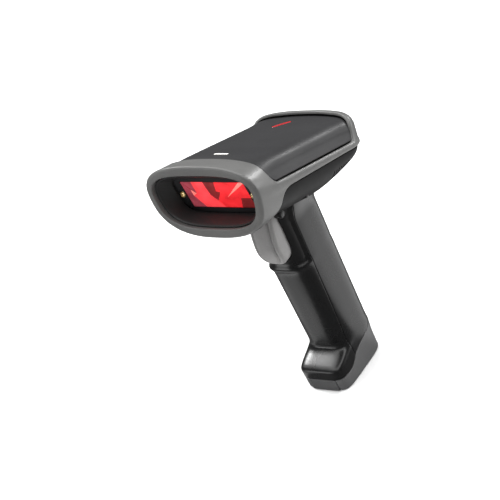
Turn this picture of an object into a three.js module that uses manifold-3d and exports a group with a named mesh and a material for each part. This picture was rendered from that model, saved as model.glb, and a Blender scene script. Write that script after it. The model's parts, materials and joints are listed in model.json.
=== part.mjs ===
// Handheld barcode scanner with a pistol grip, standing upright on the flat foot of its handle.
// Millimetres, +Z up. The origin is the centre of the foot, -Y is the way the scanner looks,
// +X is its left side. The head is built level in its own group and tilted back as one.

import * as THREE from "three";
import { mergeVertices } from "three/addons/utils/BufferGeometryUtils.js";
import Module from "manifold-3d";

const wasm = await Module();
wasm.setup();

// ---------------------------------------------------------------- driving dimensions
const GAP = 0.3;                 // free space between two touching pieces
const WALL = 2.2;                // moulded wall thickness
const SCREW_BORE = 1.3;          // bore radius around a screw's shank of radius 1
const SCREW_HEAD_ROOM = 2.5;     // radius of the recess around a screw head

const HEAD_TILT = THREE.MathUtils.degToRad(18.8);
const HEAD_HEIGHT = 128.1;       // height of the head group's origin above the foot
const HEAD_HALF_WIDTH = 35;
const HEAD_TOP = 20;
const HEAD_BOTTOM = -15;
const HEAD_REAR = 50.7;
const TAIL_START = 29;           // where the rounded tail begins in plan
const TAIL_POWER = 2.9;          // the higher, the squarer the tail's plan
const BUMPER_PROUD = 0.9;        // how far the bumper stands out from the cover and lower body
const RIM_RISE = 1.7;            // how much further its rim rises over the cover at the tail
const RAIL_TOP = 8.4;
const RAIL_BOTTOM_FRONT = 2.4;
const RAIL_BOTTOM_REAR = 5.2;

const LIP_Y = -53.4;             // centre of the front lip
const LIP_Z = 2;
const LIP_LEAN = THREE.MathUtils.degToRad(13);
const LIP_HALF_WIDTH = 35;
const LIP_HALF_HEIGHT = 20;
const LIP_TAPER = 0.085;         // the collar and its mouth are wider at the top
const LIP_DRAW_IN = 24;          // lip radius by which an inset scales the collar
const COLLAR_REAR = -38.5;       // from here back the head's own section sets the outline
const COLLAR_FADE = -28;         // where the collar's outline has turned fully into the head's
const COVER_FRONT = -42.5;       // front edge of the top cover
const MOUTH_HALF_WIDTH = 32;
const MOUTH_HALF_HEIGHT = 15.2;
const MOUTH_POWER = 3.1;

const WINDOW_LEAN = THREE.MathUtils.degToRad(26);
const WINDOW_Y = -42.6;
const WINDOW_Z = 2.6;
const WINDOW_WIDTH = 41;
const WINDOW_HEIGHT = 15.6;
const THROAT_HALF_WIDTH = 25.6;
const THROAT_HALF_HEIGHT = 11.2;

const GRIP_HALF_WIDTH = 14.3;
const GRIP_BACK = 18;
const GRIP_TOP = 126;
const SPLIT_Y = -9;              // parting plane between the grip's front and rear shells
const FOOT_FRONT = -25.4;
const TOE_LEAN = 1.5;            // how far the toe leans out over its height
const FOOT_BACK = 16.9;
const CAP_FRONT_HEIGHT = 8;
const CAP_REAR_HEIGHT = 17.8;

const TRIGGER_HALF_WIDTH = 8.2;
const TRIGGER_PIVOT = { y: -15, z: 114.5 };
const TRIGGER_BOTTOM = 83;
const SWITCH_Z = 102.5;

const FLAP_HALF_WIDTH = 8.8;
const FLAP_PIVOT = { y: FOOT_FRONT, z: 6.9 };

const CELL_RADIUS = 9;           // 18500 rechargeable cell
const CELL_LENGTH = 49.5;
const CELL_Y = 3.8;
const CELL_BOTTOM = 23;

// ---------------------------------------------------------------- materials
function material(color, roughness, metalness = 0) {
  return new THREE.MeshStandardMaterial({ color, roughness, metalness });
}

const finishes = {
  charcoal: () => material(0x424242, 0.45),
  bumper: () => material(0x7c7d7c, 0.55),
  blackShell: () => material(0x29292a, 0.3),
  capGrey: () => material(0x6c6b6b, 0.5),
  triggerGrey: () => material(0x807f7d, 0.45),
  liner: () => material(0x2b2d2c, 0.6),
  blackPlastic: () => material(0x161617, 0.5),
  redGlass: () => material(0xe3303a, 0.1),
  mirror: () => material(0xd8dadc, 0.05, 1),
  steel: () => material(0xa8aaad, 0.3, 1),
  brass: () => material(0xc2a45c, 0.35, 1),
  copper: () => material(0xb87333, 0.35, 1),
  board: () => material(0x1d5a35, 0.5),
  chip: () => material(0x1b1b1d, 0.45),
  cellWrap: () => material(0x2f5f9e, 0.35),
  rubber: () => material(0x5a5959, 0.8),
  magnet: () => material(0x6f7276, 0.35, 1),
  clear: () => material(0xd94b4b, 0.2),
};

// ---------------------------------------------------------------- geometry helpers
// A closed geometry as a manifold solid, with its faces turned out.
function solid(geometry) {
  const bare = geometry.clone();
  bare.deleteAttribute("normal");
  bare.deleteAttribute("uv");
  const merged = mergeVertices(bare, 1e-4);
  const positions = Float32Array.from(merged.attributes.position.array);
  const corner = (i) => new THREE.Vector3().fromArray(positions, 3 * i);
  const faces = [];
  let volume = 0;
  for (let i = 0; i < merged.index.count; i += 3) {
    const [a, b, c] = [0, 1, 2].map((k) => merged.index.getX(i + k));
    if (a === b || b === c || c === a) continue;
    faces.push([a, b, c]);
    volume += corner(a).dot(corner(b).cross(corner(c)));
  }
  const turned = volume < 0 ? faces.map(([a, b, c]) => [a, c, b]) : faces;
  const mesh = new wasm.Mesh({
    numProp: 3,
    vertProperties: positions,
    triVerts: Uint32Array.from(turned.flat()),
  });
  return new wasm.Manifold(mesh);
}

function geometryOf(body) {
  const mesh = body.getMesh();
  const geometry = new THREE.BufferGeometry();
  geometry.setAttribute("position", new THREE.BufferAttribute(mesh.vertProperties, 3));
  geometry.setIndex(new THREE.BufferAttribute(mesh.triVerts, 1));
  geometry.computeVertexNormals();
  return geometry;
}

function addPart(group, name, body, finish) {
  const mesh = new THREE.Mesh(geometryOf(body), finish());
  mesh.name = name;
  group.add(mesh);
  return mesh;
}

function cutAll(body, cutters) {
  return cutters.reduce((left, cutter) => left.subtract(cutter), body);
}

function joinAll(bodies) {
  return bodies.reduce((whole, next) => whole.add(next));
}

function box(x, y, z, width, depth, height) {
  return solid(new THREE.BoxGeometry(width, depth, height).translate(x, y, z));
}

// Box given by its lowest and highest corner.
function span(low, high) {
  const middle = low.map((value, i) => (value + high[i]) / 2);
  const size = low.map((value, i) => high[i] - value);
  return box(...middle, ...size);
}

function shapeOf(points) {
  return new THREE.Shape(points.map(([u, v]) => new THREE.Vector2(u, v)));
}

// Extrusions along each axis. The outline is in (y, z), (x, z) or (x, y).
function alongX(shape, x0, x1, curveSegments = 6) {
  const geometry = new THREE.ExtrudeGeometry(shape, { depth: x1 - x0, bevelEnabled: false, curveSegments });
  const turn = new THREE.Matrix4().makeBasis(
    new THREE.Vector3(0, 1, 0), new THREE.Vector3(0, 0, 1), new THREE.Vector3(1, 0, 0));
  return solid(geometry.applyMatrix4(turn).translate(x0, 0, 0));
}

function alongY(shape, y0, y1, curveSegments = 6) {
  const geometry = new THREE.ExtrudeGeometry(shape, { depth: y1 - y0, bevelEnabled: false, curveSegments });
  return solid(geometry.rotateX(Math.PI / 2).translate(0, y1, 0));
}

function alongZ(shape, z0, z1, curveSegments = 6) {
  const geometry = new THREE.ExtrudeGeometry(shape, { depth: z1 - z0, bevelEnabled: false, curveSegments });
  return solid(geometry.translate(0, 0, z0));
}

// Round bar between two points.
function bar(from, to, radius, sides = 12, endRadius = radius) {
  const start = new THREE.Vector3(...from);
  const way = new THREE.Vector3(...to).sub(start);
  const geometry = new THREE.CylinderGeometry(endRadius, radius, way.length(), sides);
  geometry.translate(0, way.length() / 2, 0);
  const turn = new THREE.Quaternion().setFromUnitVectors(new THREE.Vector3(0, 1, 0), way.clone().normalize());
  geometry.applyQuaternion(turn).translate(...from);
  return solid(geometry);
}

// Body through a row of closed outlines with equal numbers of points: a capped cylinder whose
// rings are moved onto the outlines.
function loft(rings) {
  const sides = rings[0].length;
  const geometry = new THREE.CylinderGeometry(1, 1, 1, sides, rings.length - 1);
  const place = geometry.attributes.position;
  const centre = (ring) => ring.reduce((sum, p) => sum.add(p), new THREE.Vector3()).divideScalar(sides);
  let index = 0;
  for (const ring of rings) {
    for (let k = 0; k <= sides; k++) place.setXYZ(index++, ...ring[k % sides].toArray());
  }
  for (const ring of [rings[0], rings[rings.length - 1]]) {
    for (let k = 0; k < sides; k++) place.setXYZ(index++, ...centre(ring).toArray());
    for (let k = 0; k <= sides; k++) place.setXYZ(index++, ...ring[k % sides].toArray());
  }
  return geometry;
}

// Superellipse outline in (u, v). A positive taper makes its top wider than its bottom.
function superellipse(halfWidth, halfHeight, power, taper = 0, count = 32) {
  const points = [];
  for (let k = 0; k < count; k++) {
    const angle = (k / count) * 2 * Math.PI;
    const u = Math.sign(Math.cos(angle)) * Math.abs(Math.cos(angle)) ** (2 / power);
    const v = Math.sign(Math.sin(angle)) * Math.abs(Math.sin(angle)) ** (2 / power);
    points.push([u * halfWidth * (1 + taper * v), v * halfHeight]);
  }
  return points;
}

// Pan-head screw sizes. The shank is plain.
const CASE_SCREW = { headRadius: 2.2, headHeight: 1.6, shankRadius: 1, finish: finishes.steel };
const BASE_SCREW = { headRadius: 2.1, headHeight: 1.5, shankRadius: 1, finish: finishes.steel };
const BOARD_SCREW = { headRadius: 1.8, headHeight: 1.2, shankRadius: 0.7, finish: finishes.steel };
const ENGINE_SCREW = { headRadius: 2, headHeight: 1.3, shankRadius: 0.6, finish: finishes.brass };

// Cross-slotted pan-head screw along +Z. The origin is under its head and the tip is at its length.
function screw({ headRadius, headHeight, shankRadius }, length) {
  const profile = [
    [0, -headHeight],
    [headRadius * 0.8, -headHeight],
    [headRadius, -headHeight * 0.55],
    [headRadius, 0],
    [shankRadius, 0],
    [shankRadius, length - shankRadius],
    [0, length],
  ].map(([r, h]) => new THREE.Vector2(r, h));
  const body = solid(new THREE.LatheGeometry(profile, 8).rotateX(Math.PI / 2));
  const slotWidth = headRadius * 0.32;
  const slotDepth = headHeight * 0.55;
  const slotLength = headRadius * 1.3;
  return cutAll(body, [
    box(0, 0, -headHeight, slotLength, slotWidth, 2 * slotDepth),
    box(0, 0, -headHeight, slotWidth, slotLength, 2 * slotDepth),
  ]);
}

// Screw whose head seats at a point, pointing in a direction.
function addScrew(group, name, seat, direction, kind, length) {
  const mesh = addPart(group, name, screw(kind, length), kind.finish);
  mesh.position.set(...seat);
  mesh.quaternion.setFromUnitVectors(new THREE.Vector3(0, 0, 1), new THREE.Vector3(...direction));
  return mesh;
}

// ---------------------------------------------------------------- shape of the head
const smooth = (value) => value * value * (3 - 2 * value);
const ramp = (value, start, end) => smooth(THREE.MathUtils.clamp((value - start) / (end - start), 0, 1));

function headBottom(y) {
  return HEAD_BOTTOM + 17 * (Math.max(0, y) / 49) ** 1.85;
}

function railBottom(y) {
  return THREE.MathUtils.mapLinear(y, COLLAR_REAR, HEAD_REAR, RAIL_BOTTOM_FRONT, RAIL_BOTTOM_REAR);
}

// Profile of the head from crown to keel, as (share of the way out to the plan's edge, height).
// The shoulder is broad along the sides and tight round the tail.
function profile(y, inset) {
  const tail = ramp(y, 22, 44);
  const blend = (side, end) => THREE.MathUtils.lerp(side, end, tail);
  const top = HEAD_TOP - inset + (inset < 0 ? RIM_RISE * tail : 0);
  const low = railBottom(y);
  const keel = Math.min(headBottom(y) + inset, low - 1);
  const path = new THREE.Path();
  path.moveTo(0, top);
  path.lineTo(blend(0.64, 0.74), top - blend(0.35, 0.3));
  path.quadraticCurveTo(blend(0.865, 0.93), top - blend(0.6, 0.7), blend(0.9, 0.965), top - blend(6.8, 7));
  path.lineTo(0.985, RAIL_TOP);
  path.quadraticCurveTo(1.02, (RAIL_TOP + low) / 2, 0.985, low);
  const points = path.getPoints(4);
  for (let k = 1; k <= 6; k++) {
    const angle = (k / 6) * (Math.PI / 2);
    const across = 0.985 * Math.cos(angle) ** (2 / 2.6);
    points.push(new THREE.Vector2(across, low - (low - keel) * Math.sin(angle) ** (2 / 2.6)));
  }
  return points;
}

// Left half of the head's cross-section at y. In the tail each level of the profile follows its own
// smaller copy of the plan outline, and the levels that end before y fold onto the middle line.
function halfSection(y, inset) {
  const levels = profile(y, inset);
  const reach = Math.max(0, y - TAIL_START) / (HEAD_REAR - TAIL_START - inset);
  const widest = levels.reduce((best, p, k) => (p.x > levels[best].x ? k : best), 0);
  const heightAt = (level, side) => {
    const next = side.findIndex((p) => p.x >= level);
    const [a, b] = [side[next - 1], side[next]];
    return a.y + (b.y - a.y) * ((level - a.x) / (b.x - a.x));
  };
  return levels.map((point, k) => {
    if (point.x > reach) {
      const across = point.x * (1 - (reach / point.x) ** TAIL_POWER) ** (1 / TAIL_POWER);
      return new THREE.Vector2((HEAD_HALF_WIDTH - inset) * across, point.y);
    }
    const side = k <= widest ? levels.slice(0, widest + 1) : levels.slice(widest).reverse();
    return new THREE.Vector2(0, reach > 0 ? heightAt(reach, side) : point.y);
  });
}

// Point of the collar's superellipse that lies in the same direction as a point of the section.
function collarPoint(point, scale) {
  const u = point.x / LIP_HALF_WIDTH;
  const v = (point.y - LIP_Z) / LIP_HALF_HEIGHT;
  const reach = scale / (Math.abs(u) ** 2.6 + Math.abs(v) ** 2.6) ** (1 / 2.6);
  const taper = 1 + LIP_TAPER * v * reach;
  return new THREE.Vector2(u * reach * LIP_HALF_WIDTH * taper, LIP_Z + v * reach * LIP_HALF_HEIGHT);
}

// One ring of the head's outer surface at station y, drawn in by inset.
function headRing(y, inset, lipScale = 1) {
  const collar = 1 - ramp(y, -50, COLLAR_FADE);
  const lean = Math.tan(LIP_LEAN) * (1 - ramp(y, -51, -34));
  const half = halfSection(Math.max(y, COLLAR_REAR), inset).map((point) => {
    const wanted = collarPoint(point, lipScale - inset / LIP_DRAW_IN);
    return point.clone().lerp(wanted, collar);
  });
  const place = (x, z) => new THREE.Vector3(x, y - lean * (z - LIP_Z), z);
  const left = half.map((p) => place(p.x, p.y));
  const right = half.slice(1, -1).reverse().map((p) => place(-p.x, p.y));
  return [...left, ...right];
}

// The head's outside. The bumper stands a little proud of the other shells.
function headBlank(proud = 0) {
  const rings = [headRing(LIP_Y - 0.6, -proud, 0.955), headRing(LIP_Y + 0.4, -proud, 0.985)];
  const stations = [
    LIP_Y + 2, -47, -43, COLLAR_REAR, -33, COLLAR_FADE, -20, 5, 20, TAIL_START, 35, 39.5, 43, 45.5,
    47.5, 49.2, 50.2,
  ];
  for (const y of stations) {
    rings.push(headRing(y > TAIL_START ? y + proud : y, -proud));
  }
  return loft(rings);
}

function headHollow() {
  const rings = [];
  const stations = [
    -46, -42, COLLAR_REAR, -33, COLLAR_FADE, -20, 5, 20, TAIL_START, 34, 38, 41, 43.5, 45.5, 47,
  ];
  for (const y of stations) {
    rings.push(headRing(y, WALL));
  }
  return loft(rings);
}

// Outlines that split the head, seen from the side as (y, z). Grown by a margin for a cut.
function coverSide(margin) {
  const shape = new THREE.Shape();
  shape.moveTo(COVER_FRONT - margin, 40);
  shape.lineTo(COVER_FRONT - margin, HEAD_TOP);
  shape.quadraticCurveTo(
    COVER_FRONT + 1 - margin, RAIL_TOP + 2, COVER_FRONT + 6 - margin, RAIL_TOP - margin);
  shape.lineTo(60, RAIL_TOP + 0.5 - margin);
  shape.lineTo(60, 40);
  return shape;
}

function lowerSide(margin) {
  const shape = new THREE.Shape();
  shape.moveTo(60, railBottom(60) + margin);
  shape.lineTo(-24, railBottom(-24) + margin);
  shape.quadraticCurveTo(-33.5 - margin, railBottom(-33) + margin, -34.5 - margin, -4);
  shape.quadraticCurveTo(-36.5 - margin, -10, -45 - margin, -14);
  shape.lineTo(-45 - margin, -40);
  shape.lineTo(60, -40);
  return shape;
}

// Plan outline of the top cover: its sides run out past the rails, so that the side outline cuts it
// there, and its tail follows the inside of the rear rim.
function coverPlan(margin) {
  const halfWidth = HEAD_HALF_WIDTH + 1.5 + margin;
  const rear = 44 + margin;
  const shape = new THREE.Shape();
  shape.moveTo(halfWidth, -60);
  shape.lineTo(halfWidth, 27);
  shape.quadraticCurveTo(halfWidth - 0.5, 34.6 + margin, 29.5 + margin / 2, 37 + margin);
  shape.quadraticCurveTo(14, rear, 0, rear);
  shape.quadraticCurveTo(-14, rear, -29.5 - margin / 2, 37 + margin);
  shape.quadraticCurveTo(0.5 - halfWidth, 34.6 + margin, -halfWidth, 27);
  shape.lineTo(-halfWidth, -60);
  return shape;
}

// Outline of the mouth at depth y, leaning with the lip and drawn in by shrink.
function mouthRing(shrink, y) {
  return superellipse(MOUTH_HALF_WIDTH - shrink, MOUTH_HALF_HEIGHT - shrink, MOUTH_POWER, LIP_TAPER)
    .map(([u, v]) => new THREE.Vector3(u, y - Math.tan(LIP_LEAN) * v, LIP_Z + v));
}

// ---------------------------------------------------------------- head shells
const COVER_BOSSES = [[26.5, -8], [-26.5, -8], [22, 27], [-22, 27]];
const COVER_SCREW_SEAT = 1.5;

function topCover() {
  const shell = solid(headBlank()).subtract(solid(headHollow()));
  const region = alongX(coverSide(-GAP), -40, 40).intersect(alongZ(coverPlan(0), -5, 40));
  const bosses = COVER_BOSSES.map(([x, y]) => bar([x, y, 9.4], [x, y, HEAD_TOP - 1.2], 2.8));
  const holes = COVER_BOSSES.map(([x, y]) => bar([x, y, 9], [x, y, 16.5], SCREW_BORE, 10));
  const pipeHole = bar([-6, 27, 10], [-6, 27, 30], 1.9, 12);
  const inside = solid(headBlank());
  const plate = joinAll([shell.intersect(region), ...bosses.map((boss) => boss.intersect(inside))]);
  return cutAll(plate, [...holes, pipeHole]);
}

function bumperFrame() {
  const blank = solid(headBlank(BUMPER_PROUD));
  const coverCut = alongX(coverSide(0), -40, 40).intersect(alongZ(coverPlan(GAP), -5, 40));
  const lowerCut = alongX(lowerSide(0), -40, 40);
  const mouth = solid(loft([mouthRing(0, -75), mouthRing(0, -44)]));
  return cutAll(blank, [solid(headHollow()), coverCut, lowerCut, mouth]);
}

function lowerBody() {
  const shell = solid(headBlank()).subtract(solid(headHollow()));
  const side = alongX(lowerSide(-GAP), -40, 40);
  const posts = COVER_BOSSES.map(([x, y]) => bar([x, y, -14], [x, y, 8.8], 3.4));
  const boardPosts = BOARD_POSTS.map(([x, y]) => bar([x, y, -12], [x, y, BOARD_Z - GAP], 2.2, 10));
  const rests = [-14, 14].map((x) => span([x - 1, -27, -15], [x + 1, -16, ENGINE_FLOOR - GAP]));
  const inside = solid(headBlank()).intersect(span([-33, -40, -30], [33, 42, 9]));
  const added = joinAll([...posts, ...boardPosts, ...rests]).intersect(inside);
  const shape = shell.intersect(side).add(added);
  const seats = COVER_BOSSES.map(([x, y]) => bar([x, y, -30], [x, y, COVER_SCREW_SEAT], SCREW_HEAD_ROOM));
  const bores = COVER_BOSSES.map(([x, y]) => bar([x, y, -30], [x, y, 12], SCREW_BORE, 10));
  const boardBores = BOARD_POSTS.map(([x, y]) => bar([x, y, -3], [x, y, 6], 1, 8));
  const neckHole = (x, z0, z1, radius) => bar([x, NECK_SCREW_Y, z0], [x, NECK_SCREW_Y, z1], radius);
  const neckBores = NECK_SCREW_X.map((x) => neckHole(x, -30, -8, 1.4));
  const neckSeats = NECK_SCREW_X.map((x) => neckHole(x, NECK_SCREW_SEAT, -5, 2.6));
  const wirePass = bar([0, -2, -30], [0, -2, -8], 8, 16);
  const holes = [...seats, ...bores, ...boardBores, ...neckBores, ...neckSeats, wirePass, ...vents()];
  return cutAll(shape, holes);
}

// Sound slots for the beeper, in a fan on each rear side of the lower body.
const VENT_COUNT = 7;
function vents() {
  const slots = [];
  for (let k = 0; k < VENT_COUNT; k++) {
    const y = 14 + 2.3 * k;
    const low = headBottom(y) * 0.42 - 1.6;
    for (const side of [-1, 1]) slots.push(box(side * 31, y, low + 2.6, 12, 0.9, 5.2));
  }
  return slots;
}

// ---------------------------------------------------------------- window and hood
// Ring that leans with the window, grown by a margin, at a depth behind the window's face.
function throatRing(margin, depth) {
  return superellipse(THROAT_HALF_WIDTH + margin, THROAT_HALF_HEIGHT + margin, 5)
    .map(([u, v]) => new THREE.Vector3(u, WINDOW_Y + depth - Math.tan(WINDOW_LEAN) * v, WINDOW_Z + v));
}

const HOOD_WALL = 1.5;

function windowHood() {
  const outer = loft([
    mouthRing(GAP, LIP_Y + 1.6),
    mouthRing(GAP, LIP_Y + 4),
    throatRing(HOOD_WALL, -0.6),
  ]);
  const inner = loft([
    mouthRing(HOOD_WALL - 0.2, LIP_Y),
    mouthRing(HOOD_WALL, LIP_Y + 3),
    throatRing(0, -1.2),
    throatRing(0, 3),
  ]);
  return solid(outer).subtract(solid(inner));
}

// Slab that leans with the window: (across, up) outline, from one depth to another.
function leaningSlab(halfWidth, halfHeight, front, back) {
  const slope = Math.tan(WINDOW_LEAN);
  const side = shapeOf([
    [WINDOW_Y + front + slope * halfHeight, WINDOW_Z - halfHeight],
    [WINDOW_Y + back + slope * halfHeight, WINDOW_Z - halfHeight],
    [WINDOW_Y + back - slope * halfHeight, WINDOW_Z + halfHeight],
    [WINDOW_Y + front - slope * halfHeight, WINDOW_Z + halfHeight],
  ]);
  return alongX(side, -halfWidth, halfWidth);
}

const ENGINE_FLOOR = -8.4;
const ENGINE_ROOF = 14.4;
const ENGINE_REAR = -13;
const ENGINE_HALF_WIDTH = 26.4;
const LID_HALF_WIDTH = 23.5;

// The engine seen from the side, (y, z), drawn in by a wall except at its open top.
function engineSide(inset) {
  const slope = Math.tan(WINDOW_LEAN);
  const low = ENGINE_FLOOR + inset;
  const high = ENGINE_ROOF;
  const front = WINDOW_Y + 0.2 + inset;
  return shapeOf([
    [front - slope * (low - WINDOW_Z), low],
    [ENGINE_REAR - inset, low],
    [ENGINE_REAR - inset, high],
    [front - slope * (high - WINDOW_Z), high],
  ]);
}

// The engine seen from the front, (x, z): its lower corners are cut off to clear the rounded body.
function engineFace(inset) {
  const halfWidth = ENGINE_HALF_WIDTH - inset;
  const low = ENGINE_FLOOR + inset;
  const corner = 6;
  const right = [[halfWidth, 30], [halfWidth, low + corner], [halfWidth - corner, low]];
  return shapeOf([...right, ...right.map(([x, z]) => [-x, z]).reverse()]);
}

function engineBlock(inset) {
  return alongX(engineSide(inset), -40, 40).intersect(alongY(engineFace(inset), -60, 0));
}

const PANE_THICKNESS = 1.2;
const ENGINE_WALL = 1.6;
const ENGINE_SCREW_X = 23.2;
const ENGINE_SCREW_Z = 2.6;
const ENGINE_SCREW_SEAT = WINDOW_Y + 1.2;

function engineChassis() {
  const blank = engineBlock(0);
  const hollow = engineBlock(ENGINE_WALL);
  const seatDepth = PANE_THICKNESS + 0.2 + GAP;
  const paneSeat = leaningSlab(WINDOW_WIDTH / 2 + GAP, WINDOW_HEIGHT / 2 + GAP, -2, seatDepth);
  const opening = leaningSlab(WINDOW_WIDTH / 2 - 1.2, WINDOW_HEIGHT / 2 - 1.2, -2, 6);
  const hole = (side, front, back, radius) => bar(
    [side * ENGINE_SCREW_X, front, ENGINE_SCREW_Z], [side * ENGINE_SCREW_X, back, ENGINE_SCREW_Z], radius);
  const bores = [-1, 1].map((side) => hole(side, WINDOW_Y - 4, WINDOW_Y + 12, 0.9));
  const spots = [-1, 1].map((side) => hole(side, WINDOW_Y - 8, ENGINE_SCREW_SEAT, 2.3));
  const pads = [-1, 1].map((side) => box(side * 23.6, WINDOW_Y + 4.8, ENGINE_SCREW_Z, 4.6, 8, 6));
  const pivotBore = bar([0, MIRROR_Y, -20], [0, MIRROR_Y, 0], MIRROR_PIN_RADIUS + GAP, 12);
  return cutAll(blank, [hollow, paneSeat, opening]).add(joinAll(pads).intersect(blank))
    .subtract(joinAll([...bores, ...spots, pivotBore]));
}

function exitWindow() {
  return leaningSlab(WINDOW_WIDTH / 2, WINDOW_HEIGHT / 2, 0.2, 0.2 + PANE_THICKNESS);
}

function engineLid() {
  const slope = Math.tan(WINDOW_LEAN);
  const front = WINDOW_Y + 0.2 - slope * (ENGINE_ROOF - WINDOW_Z);
  const plate = span(
    [-LID_HALF_WIDTH, front + 1, ENGINE_ROOF + GAP], [LID_HALF_WIDTH, ENGINE_REAR, ENGINE_ROOF + 1.3]);
  const tongue = span(
    [-LID_HALF_WIDTH + 1, ENGINE_REAR - 6, ENGINE_ROOF - 1], [-10, ENGINE_REAR - 2.2, ENGINE_ROOF + 1]);
  return plate.add(tongue);
}

// ---------------------------------------------------------------- optics inside the engine
const MIRROR_Y = -31.5;
const MIRROR_PIN_RADIUS = 1;
const ENGINE_DECK = ENGINE_FLOOR + ENGINE_WALL;

function mirrorPin() {
  return bar([0, MIRROR_Y, ENGINE_FLOOR - 0.2], [0, MIRROR_Y, ENGINE_ROOF - 0.4], MIRROR_PIN_RADIUS, 12);
}

// Swinging mirror: a plate clipped to a sleeve that turns on the pin.
function scanMirror() {
  const sleeve = bar([0, 0, -3.6], [0, 0, 7.4], 2.1, 12);
  const plate = box(0, -2, 2, 12, 1, 9.6);
  const neck = box(0, -1.2, 2, 2.4, 1.8, 6);
  return joinAll([sleeve, plate, neck]).subtract(bar([0, 0, -8], [0, 0, 12], MIRROR_PIN_RADIUS + 0.06, 12));
}

function mirrorMagnet() {
  return box(0, 4.4, 2, 5, 3.6, 4);
}

function driveCoil() {
  const at = [0, MIRROR_Y + 11.4, 2];
  const tube = bar([at[0], at[1] - 3, at[2]], [at[0], at[1] + 3, at[2]], 5, 14);
  return tube.subtract(bar([at[0], at[1] - 5, at[2]], [at[0], at[1] + 5, at[2]], 2.2, 12));
}

function coilYoke() {
  const core = bar([0, MIRROR_Y + 8.6, 2], [0, MIRROR_Y + 15, 2], 1.9, 12);
  const plate = span([-5, MIRROR_Y + 14.7, ENGINE_DECK + GAP], [5, MIRROR_Y + 16.2, 7]);
  return core.add(plate);
}

// Concave collecting mirror: a wing on each side of the swinging mirror, joined by a low bridge.
function collectorMirror() {
  const wing = new THREE.Shape();
  wing.moveTo(20, -35);
  wing.quadraticCurveTo(11, -31, 6.4, -23.5);
  wing.lineTo(7.6, -23.5);
  wing.quadraticCurveTo(12, -30, 20, -33.7);
  const left = alongZ(wing, ENGINE_DECK + GAP, 11.4, 6);
  const right = solid(geometryOf(left).scale(-1, 1, 1));
  const bridge = span([-7, -25, ENGINE_DECK + GAP], [7, -23.5, -4.2]);
  const beamHole = bar(LASER_TAIL, LASER_AIM, 1.4, 10);
  return joinAll([left, right, bridge]).intersect(engineBlock(ENGINE_WALL + GAP)).subtract(beamHole);
}

const LASER_TAIL = [19.8, -19.3, 2];
const LASER_FACE = [14.2, -23.9, 2];
const LASER_AIM = [5, -31.5, 2];

function laserModule() {
  const nose = LASER_TAIL.map((value, i) => LASER_FACE[i] + (LASER_FACE[i] - value) * 0.18);
  const barrel = bar(LASER_TAIL, LASER_FACE, 3, 14);
  const bore = bar(LASER_FACE, LASER_AIM, 0.9, 10);
  const middle = LASER_FACE.map((value, i) => (value + LASER_TAIL[i]) / 2);
  return barrel.add(bar(middle, nose, 1.8)).subtract(bore);
}

function laserClamp() {
  const block = span([13.5, -22.4, ENGINE_DECK + GAP], [22.4, -15.4, 8.6]);
  const far = LASER_TAIL.map((value, i) => value + (value - LASER_FACE[i]) * 2);
  return block.intersect(engineBlock(ENGINE_WALL + GAP)).subtract(bar(LASER_FACE, far, 3 + GAP, 16));
}

function photodiode() {
  const can = span([-9, -35.4, ENGINE_DECK + GAP], [-3, -34, -3.4]);
  return can.add(span([-7.6, -34.2, -5.8], [-4.4, -33.6, -4]));
}

// ---------------------------------------------------------------- boards in the head
const BOARD_Z = 3;
const BOARD_THICKNESS = 1.4;
const BOARD_POSTS = [[14, -6], [-14, -6], [14, 34], [-14, 34]];

function mainBoard() {
  const outline = shapeOf([
    [-18, -11], [18, -11], [18, 38], [10, 41], [-10, 41], [-18, 38],
  ]);
  const bores = BOARD_POSTS.map(([x, y]) => bar([x, y, 0], [x, y, 8], 1.1, 8));
  return cutAll(alongZ(outline, BOARD_Z, BOARD_Z + BOARD_THICKNESS), bores);
}

const BOARD_TOP = BOARD_Z + BOARD_THICKNESS + GAP;

function processorChip() {
  return span([-6, 4, BOARD_TOP], [4, 14, BOARD_TOP + 1.2]);
}

function radioModule() {
  const can = span([6, 8, BOARD_TOP], [16, 22, BOARD_TOP + 2.2]);
  const aerial = span([6, 21.5, BOARD_TOP], [16, 25.5, BOARD_TOP + 0.9]);
  return can.add(aerial);
}

function boardSocket() {
  const top = BOARD_Z - GAP;
  const body = span([-17, 1, top - 4.6], [-9, 7, top]);
  return body.subtract(span([-16.2, 1.8, top - 8], [-9.8, 6.2, top - 1.4]));
}

function beeper() {
  const can = bar([4, 34, BOARD_TOP], [4, 34, BOARD_TOP + 5.4], 5.2, 20);
  return can.subtract(bar([4, 34, BOARD_TOP + 3.6], [4, 34, BOARD_TOP + 9], 1.2, 10));
}

function statusLed() {
  return span([-7.4, 25.9, BOARD_TOP], [-4.6, 28.1, BOARD_TOP + 1.3]);
}

function lightPipe() {
  const stem = bar([-6, 27, BOARD_TOP + 1.6], [-6, 27, HEAD_TOP - 0.15], 1.6, 12);
  const flange = bar([-6, 27, HEAD_TOP - WALL - 1.9], [-6, 27, HEAD_TOP - WALL - 0.75], 2.9, 12);
  return stem.add(flange);
}

// ---------------------------------------------------------------- shape of the grip
const TOE_HEIGHT = 13.2;

function gripFront(z) {
  const toe = 1 - ramp(z, TOE_HEIGHT, 21);
  const chin = Math.exp(-(((z - 78.6) / 2.6) ** 2));
  const belly = THREE.MathUtils.mapLinear(THREE.MathUtils.clamp(z, 20, 80), 20, 80, -13.6, -17.6);
  const foot = FOOT_FRONT - TOE_LEAN * Math.min(z / TOE_HEIGHT, 1);
  return THREE.MathUtils.lerp(belly, foot, toe) - 1.9 * chin;
}

function gripBack(z) {
  const heel = 1 - ramp(z, 9, 22);
  return THREE.MathUtils.lerp(GRIP_BACK, FOOT_BACK, heel) + 3.8 * ramp(z, 103, 114);
}

function gripHalfWidth(z) {
  return GRIP_HALF_WIDTH + 4 * ramp(z, 103, 120);
}

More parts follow.
